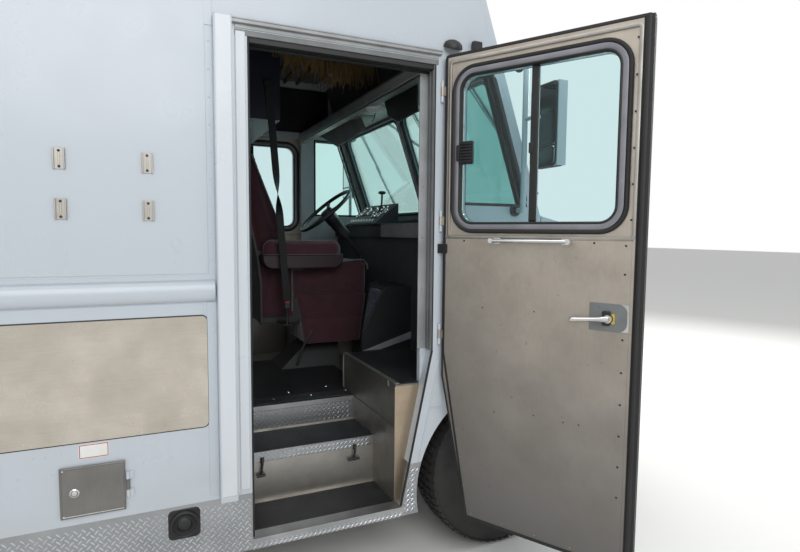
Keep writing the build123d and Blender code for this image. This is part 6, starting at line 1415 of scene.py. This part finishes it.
for side in (-1, 1):
    latch = stand((560, side * HALF, 1130), (1, 0, 0), (0, 0, 1), (0, side, 0))
    plate(nose_rubber, latch, rounded((-22, 28), (22, 86), 8), 0, 6, 2)
    plate(nose_rubber, latch, rounded((-18, -92), (18, -34), 8), 0, 6, 2)
    plate(nose_rubber, latch, rounded((-10, -70), (10, 66), 5), 6, 15, 3)
    tube(nose_rubber, [(187, side * 1205, 878), (187, side * 1205, 1700)], 4, 8, (0, 1, 0))
    arch = [Vector((527 * math.cos(math.radians(a)), ARCH_Z + 527 * math.sin(math.radians(a))))
            for a in range(18, 118, 6)]
    tube(nose_rubber, [(p.x, side * 1201, p.y) for p in arch if p.x > 190], 7, 8, (0, 1, 0))
for y in (-620, -210, 210, 620):
    for z in (520, 590, 660):
        turned(nose_bits, (949, y, z), (1, 0, 0), ((15, 0), (15, 3), (11, 4), (11, 11), (8, 13)), 6)
slab(nose_bits, (942, -1180, 686), (956, 1180, 694), 3)
piece(nose_bits, "front_bumper_bolts", chrome)
piece(nose_rubber, "hood_latches_and_seals", seal_rubber)

# Wipers: black steel arms with two links each, which carry rubber blades.
# They hang from the spindles of their motors above the windscreen.
wipers = bmesh.new()
for top, low in (((-76, -846, 2455), (43, -1040, 2114)), ((-80, 349, 2467), (-36, 121, 2341)),
                 ((-80, -120, 2467), (30, -250, 2150)), ((-76, 846, 2455), (43, 700, 2114))):
    lift = Vector((30, 0, 10))
    start, end = Vector(top) + lift, Vector(low) + lift
    turned(wipers, Vector(top) + Vector((4, 0, 0)), (0.944, 0, 0.33),
           ((26, 0), (26, 14), (20, 22), (10, 26)), 20)
    tube(wipers, [start, end], 6, 8)
    tube(wipers, [start + Vector((0, 24, -8)), end + Vector((0, 24, 10))], 4, 8)
    side_way = (end - start).normalized()
    blade_low, blade_high = end - side_way * 60, end + side_way * 330
    run(wipers, [blade_low, blade_high], [(-5, -16), (5, -16), (7, -4), (-7, -4)], (0.944, 0, 0.33))
piece(wipers, "windscreen_wipers", chassis_black)

# Mirrors: tall pressed heads with a flat glass above a small wide-angle one, in a black rim.
# They are clamped to tube that stands on two flanged feet.
mirror_glass = brushed("silvered_mirror_glass", "D9DEE0", "CBD1D4", (1, 1, 1), (0.02, 0.04))
glasses, mirror_rims = bmesh.new(), bmesh.new()
for side in (-1, 1):
    rear_face = facing_rear(24, side * 1400, 2150)
    moulding(mirror_rims, rear_face, rounded((-92, -190), (92, 190), 22),
             ((-3, -2), (-2, 3), (4, 5), (8, 3), (9, -2)))
    plate(glasses, rear_face, rounded((-84, -92), (84, 182), 16), -1, 1.5, 0.5)
    plate(glasses, rear_face, rounded((-84, -182), (84, -102), 16), -1, 3.5, 1.5)
    slab(mirror_rims, (-90, -100, -1), (90, -94, 3), 1, rear_face)
    front_face = stand((75, side * 1400, 2150), (0, 1, 0), (0, 0, 1))
    moulding(mirror_rims, front_face, rounded((-92, -190), (92, 190), 22),
             ((-3, -30), (-3, -2), (4, 2), (10, 0), (10, -2)))
    for z in (1760, 2470):
        turned(mirror_rims, (15, side * 1205, z), (0, side, 0), ((30, 0), (30, 5), (20, 9), (17, 26)), 16)
piece(glasses, "mirror_glasses", mirror_glass)
piece(mirror_rims, "mirror_rims_and_feet", moulded_black)

# Door lamp: a half-round lamp and its bracket, both moulded in black plastic.
# They are screwed to the front panel above the open door.
brow_lamp = bmesh.new()
turned(brow_lamp, (-362, -1206, 2505), (0, -0.5, 1), ((46, 0), (46, 8), (40, 22), (26, 32), (8, 37)), 24)
slab(brow_lamp, (-262, -1232, 2505), (-210, -1206, 2548), 4)
piece(brow_lamp, "door_brow_lamp", moulded_black)


# Body panels of the road side and the rear: aluminium sheets joined by straps and pop rivets.
# Folded aluminium caps cover the rear corners.
seams, seam_rivets = bmesh.new(), bmesh.new()
SIDE_SEAMS = tuple(spaced(-6240, -1480, 595))
REAR_ARCH = Vector((REAR_AXLE_X, ARCH_Z))
for x in SIDE_SEAMS:
    strap_low = 915 if abs(x - REAR_AXLE_X) < 540 else 560
    plate(seams, ROAD, [(x - 15, strap_low), (x + 15, strap_low), (x + 15, 2810), (x - 15, 2810)],
          -0.5, 1.6, 0.5)
strap_rivets = [(x + shift, z, 1.4) for x in SIDE_SEAMS for z in spaced(590, 2790, 62) for shift in (-8, 8)]
edge_rivets = [(x, z) for x in spaced(-6300, -1400, 62) for z in (552, 2822)]
clear_of_arch = [spot for spot in strap_rivets + edge_rivets
                 if (Vector(spot[:2]) - REAR_ARCH).length > 545]
studs(seam_rivets, ROAD, clear_of_arch, 4.0, 1.6, 6)
REAR = facing_rear(-6435)
studs(seam_rivets, REAR, [(y, z) for y in (-1165, -560, 540, 1165) for z in spaced(560, 2790, 62)],
      4.0, 1.6, 6)
studs(seam_rivets, REAR, [(y, z) for y in spaced(-1140, 1140, 62) for z in (2815, 2425)
                          if abs(y) > 470 or z > 2600], 4.0, 1.6, 6)
for y in (-560, 540):
    plate(seams, REAR, [(y - 15, 470), (y + 15, 470), (y + 15, 2800), (y - 15, 2800)], -0.5, 1.6, 0.5)
piece(seams, "wall_seam_straps", white_enamel)
piece(seam_rivets, "wall_seam_rivets", white_enamel)
corner_caps = bmesh.new()
for low, high in ((-1207, -1160), (1160, 1207)):
    slab(corner_caps, (-6438, low, 470), (-6434, high, 2805), 1.2)
for low, high in ((-1207, -1204), (1204, 1207)):
    slab(corner_caps, (-6438, low, 470), (-6390, high, 2805), 1.2)
piece(corner_caps, "rear_corner_caps", weathered_channel)

# Rear door: its window and its edge sit in black rubber, and an aluminium kick plate is screwed on.
# It opens by a bar handle above its lock; a folded gutter sheds the rain over it.
REAR_LEAF = facing_rear(-6468)
rear_rubber, rear_bright = bmesh.new(), bmesh.new()
moulding(rear_rubber, REAR_LEAF, rounded((-292, 1588), (292, 2212), 52),
         ((-10, -1), (-9, 6), (-2, 9), (8, 8), (15, 1), (15, -10)))
moulding(rear_rubber, REAR_LEAF, rounded((-434, 704), (405, 2326), 10),
         ((-1, -4), (-1, 0), (3, 2.5), (9, 1), (9, -3)))
piece(rear_rubber, "rear_door_rubbers", seal_rubber, "rear_door")
studs(rear_bright, REAR_LEAF, [(y, z) for y in (-400, 380) for z in spaced(740, 2300, 120)], 4.5, 2.0, 8)
slab(rear_bright, (-6503, -375, 1145), (-6466, -325, 1355), 8)
plate(rear_bright, REAR_LEAF, rounded((316, 1120), (384, 1380), 14), 0, 4, 2)
turned(rear_bright, (-6472, -350, 1105), (-1, 0, 0), ((16, 0), (16, 5), (11, 8), (3, 9)), 20)
plate(rear_bright, REAR_LEAF, [(-420, 716), (398, 716), (398, 980), (-420, 980)], 0, 1.6, 0.6)
piece(rear_bright, "rear_door_hardware", weathered_channel, "rear_door")
gutter = bmesh.new()
run(gutter, [(-6436, -470, 2352), (-6436, 0, 2362), (-6436, 470, 2352)],
    [(-2, -3), (28, 2), (28, 8), (25, 8), (24, 5), (-2, 3)], (0, 0, 1))
piece(gutter, "rear_door_gutter", white_enamel)

# Rear bumper: a black folded steel step, bolted to the chassis.
# Its top is tread plate with raised lugs.
step_plate, step_lugs, step_bolts = bmesh.new(), bmesh.new(), bmesh.new()
slab(step_plate, (-6556, -1172, 639), (-6446, 1172, 643), 1)
lugs(step_lugs, stand((0, 0, 643), (1, 0, 0), (0, 1, 0)), (-6552, -1160), (-6450, 1160), pitch=26)
for y in (-900, -450, 450, 900):
    for z in (530, 590):
        turned(step_bolts, (-6559, y, z), (-1, 0, 0), ((15, 0), (15, 3), (11, 4), (11, 11), (8, 13)), 6)
piece(step_plate, "rear_step_plate", tread_aluminium)
piece(step_lugs, "rear_step_lugs", highlit_lug_aluminium)
piece(step_bolts, "rear_bumper_bolts", chrome)

# Serving hatch and shelf: an aluminium awning leaf with a folded, riveted rim and two latches.
# The shelf below is folded stainless with pressed stiffeners.
HATCH = facing_kerb(-1237)
hatch_rim, hatch_studs, shelf_rim = bmesh.new(), bmesh.new(), bmesh.new()
moulding(hatch_rim, HATCH, rounded((-4776, 1534), (-2524, 2483), 24),
         ((0, -4), (0, 2), (3, 4.5), (26, 4.5), (29, 1.2), (29, -0.5)))
for x in (-4026, -3274):
    plate(hatch_rim, HATCH, [(x - 16, 1560), (x + 16, 1560), (x + 16, 2456), (x - 16, 2456)], -0.5, 2.6, 1)
hatch_rows = ([(x, z, 4.3) for x in spaced(-4750, -2550, 110) for z in (1548, 2469)],
              [(x, z, 4.3) for x in (-4762, -2538) for z in spaced(1600, 2420, 102)])
for row in hatch_rows:
    studs(hatch_studs, HATCH, row, 4.5, 1.8, 8)
piece(hatch_rim, "hatch_folded_rim", weathered_channel, "serving_hatch")
piece(hatch_studs, "hatch_rivets", mill_aluminium, "serving_hatch")
hatch_latch = bmesh.new()
for x in (-4500, -2800):
    plate(hatch_latch, HATCH, rounded((x - 30, 1566), (x + 30, 1640), 8), 0, 4, 1.5)
    tube(hatch_latch, [(x - 22, -1246, 1600), (x, -1256, 1600), (x + 22, -1246, 1600)], 5, 10)
piece(hatch_latch, "hatch_latches", chrome, "serving_hatch")
SHELF = facing_kerb(-1246)
moulding(shelf_rim, SHELF, rounded((-4740, 1206), (-2560, 1484), 12),
         ((0, -3), (0, 0.8), (3, 1.4), (20, 1.4), (22, 0.6), (22, -0.5)))
for x in (-4500, -3650, -2800):
    plate(shelf_rim, SHELF, rounded((x - 14, 1226), (x + 14, 1464), 8), -0.5, 1.3, 0.6)
piece(shelf_rim, "shelf_folded_rim", stainless, "serving_shelf")

# Roof: aluminium sheets lapped under white caps, with a folded gutter along each side.
# An aluminium ventilator with a spun cowl and a wire guard is screwed to its curb.
ROOF_Z = 2950
roof_seams, gutters = bmesh.new(), bmesh.new()
for x in spaced(-6100, -700, 600):
    run(roof_seams, [(x, -1070, ROOF_Z), (x, 1070, ROOF_Z)],
        [(-22, -1), (22, -1), (20, 2.5), (-20, 2.5)], (0, 0, 1))
for side in (-1, 1):
    run(gutters, [(-6430, side * 1209, 2838), (-320, side * 1209, 2838)],
        [(-side * a, b) for a, b in ((9, -9), (-6, -6), (-6, 5), (-3, 5), (-2, -2), (9, 4))][::side],
        (0, 0, 1))
piece(roof_seams, "roof_seam_caps", white_enamel)
piece(gutters, "roof_gutters", white_enamel)
FAN = stand((-3100, 600, ROOF_Z), (1, 0, 0), (0, 1, 0))
fan = bmesh.new()
moulding(fan, FAN, rounded((-262, -262), (262, 262), 12),
         ((-6, 0), (-6, 3), (0, 4), (2, 58), (14, 61), (26, 60), (26, 56), (6, 54)))
turned(fan, FAN @ Vector((0, 0, 146)), (0, 0, 1),
       ((244, 0), (250, 8), (250, 46), (240, 56), (170, 61), (70, 63), (10, 64)), 48)
for number in range(24):
    t = math.radians(number * 15)
    tube(fan, [FAN @ Vector((232 * math.cos(t), 232 * math.sin(t), 148)),
               FAN @ Vector((200 * math.cos(t), 200 * math.sin(t), 66))],
         2.5, 6, (math.sin(t), -math.cos(t), 0.01))
for height, radius in ((122, 222), (98, 212), (76, 204)):
    ring = [(radius * math.cos(math.radians(a)), radius * math.sin(math.radians(a)))
            for a in range(0, 360, 10)]
    tube(fan, [FAN @ Vector((a, b, height)) for a, b in ring], 2.5, 6, (0, 0, 1), around=True)
studs(fan, FAN, [(x, y, 61) for x in (-240, 0, 240) for y in (-240, 0, 240) if x or y], 6, 4, 6)
piece(fan, "roof_fan_cowl", weathered_channel)

# Fuel tank straps: black steel bands round the aluminium tank.
# A bolt draws each one tight on the outer side.
TANK_LINE = rounded((-1088, 296), (-552, 664), 62, 6)
tank_bits = bmesh.new()
for x in (-2480, -1920):
    moulding(tank_bits, stand((x, 0, 0), (0, 1, 0), (0, 0, 1)), TANK_LINE,
             ((-3, -20), (-4, -18), (-4, 18), (-3, 20), (3, 20), (3, -20)))
    turned(tank_bits, (x, -1092, 500), (0, -1, 0), ((13, 0), (13, 3), (10, 4), (10, 11), (7, 13)), 6)
piece(tank_bits, "tank_straps", chassis_black)

# Kitchen: folded stainless cupboard doors and drawer fronts on the cooking line and the wall units.
# Black handles and burner knobs are screwed to them.
units, knobs = bmesh.new(), bmesh.new()
LINE = facing_kerb(430)
for number, x in enumerate(spaced(-3890, -2840, 530)):
    moulding(units, LINE, rounded((x + 8, 730), (x + 512, 1330), 10),
             ((0, -2), (0, 3), (3, 5), (22, 5), (25, 1.5), (25, -1)))
    moulding(units, LINE, rounded((x + 8, 1350), (x + 512, 1470), 8),
             ((0, -2), (0, 3), (3, 5), (14, 5), (17, 1.5), (17, -1)))
    tube(knobs, [(x + 470, 426, 1180), (x + 470, 404, 1190), (x + 470, 404, 1290), (x + 470, 426, 1300)],
         6, 10)
    for reach in (100, 200, 300, 400):
        turned(knobs, (x + reach, 427, 1520), (0, -1, 0),
               ((19, 0), (19, 6), (15, 9), (13, 26), (9, 29)), 16)
CUPBOARD = facing_kerb(530)
for x in spaced(-3890, -2840, 530):
    moulding(units, CUPBOARD, rounded((x + 8, 2262), (x + 512, 2860), 10),
             ((0, -2), (0, 3), (3, 5), (22, 5), (25, 1.5), (25, -1)))
    turned(knobs, (x + 470, 526, 2310), (0, -1, 0), ((14, 0), (9, 10), (14, 20), (10, 25)), 14)
piece(units, "kitchen_fronts", stainless)
piece(knobs, "kitchen_knobs_and_handles", chassis_black)
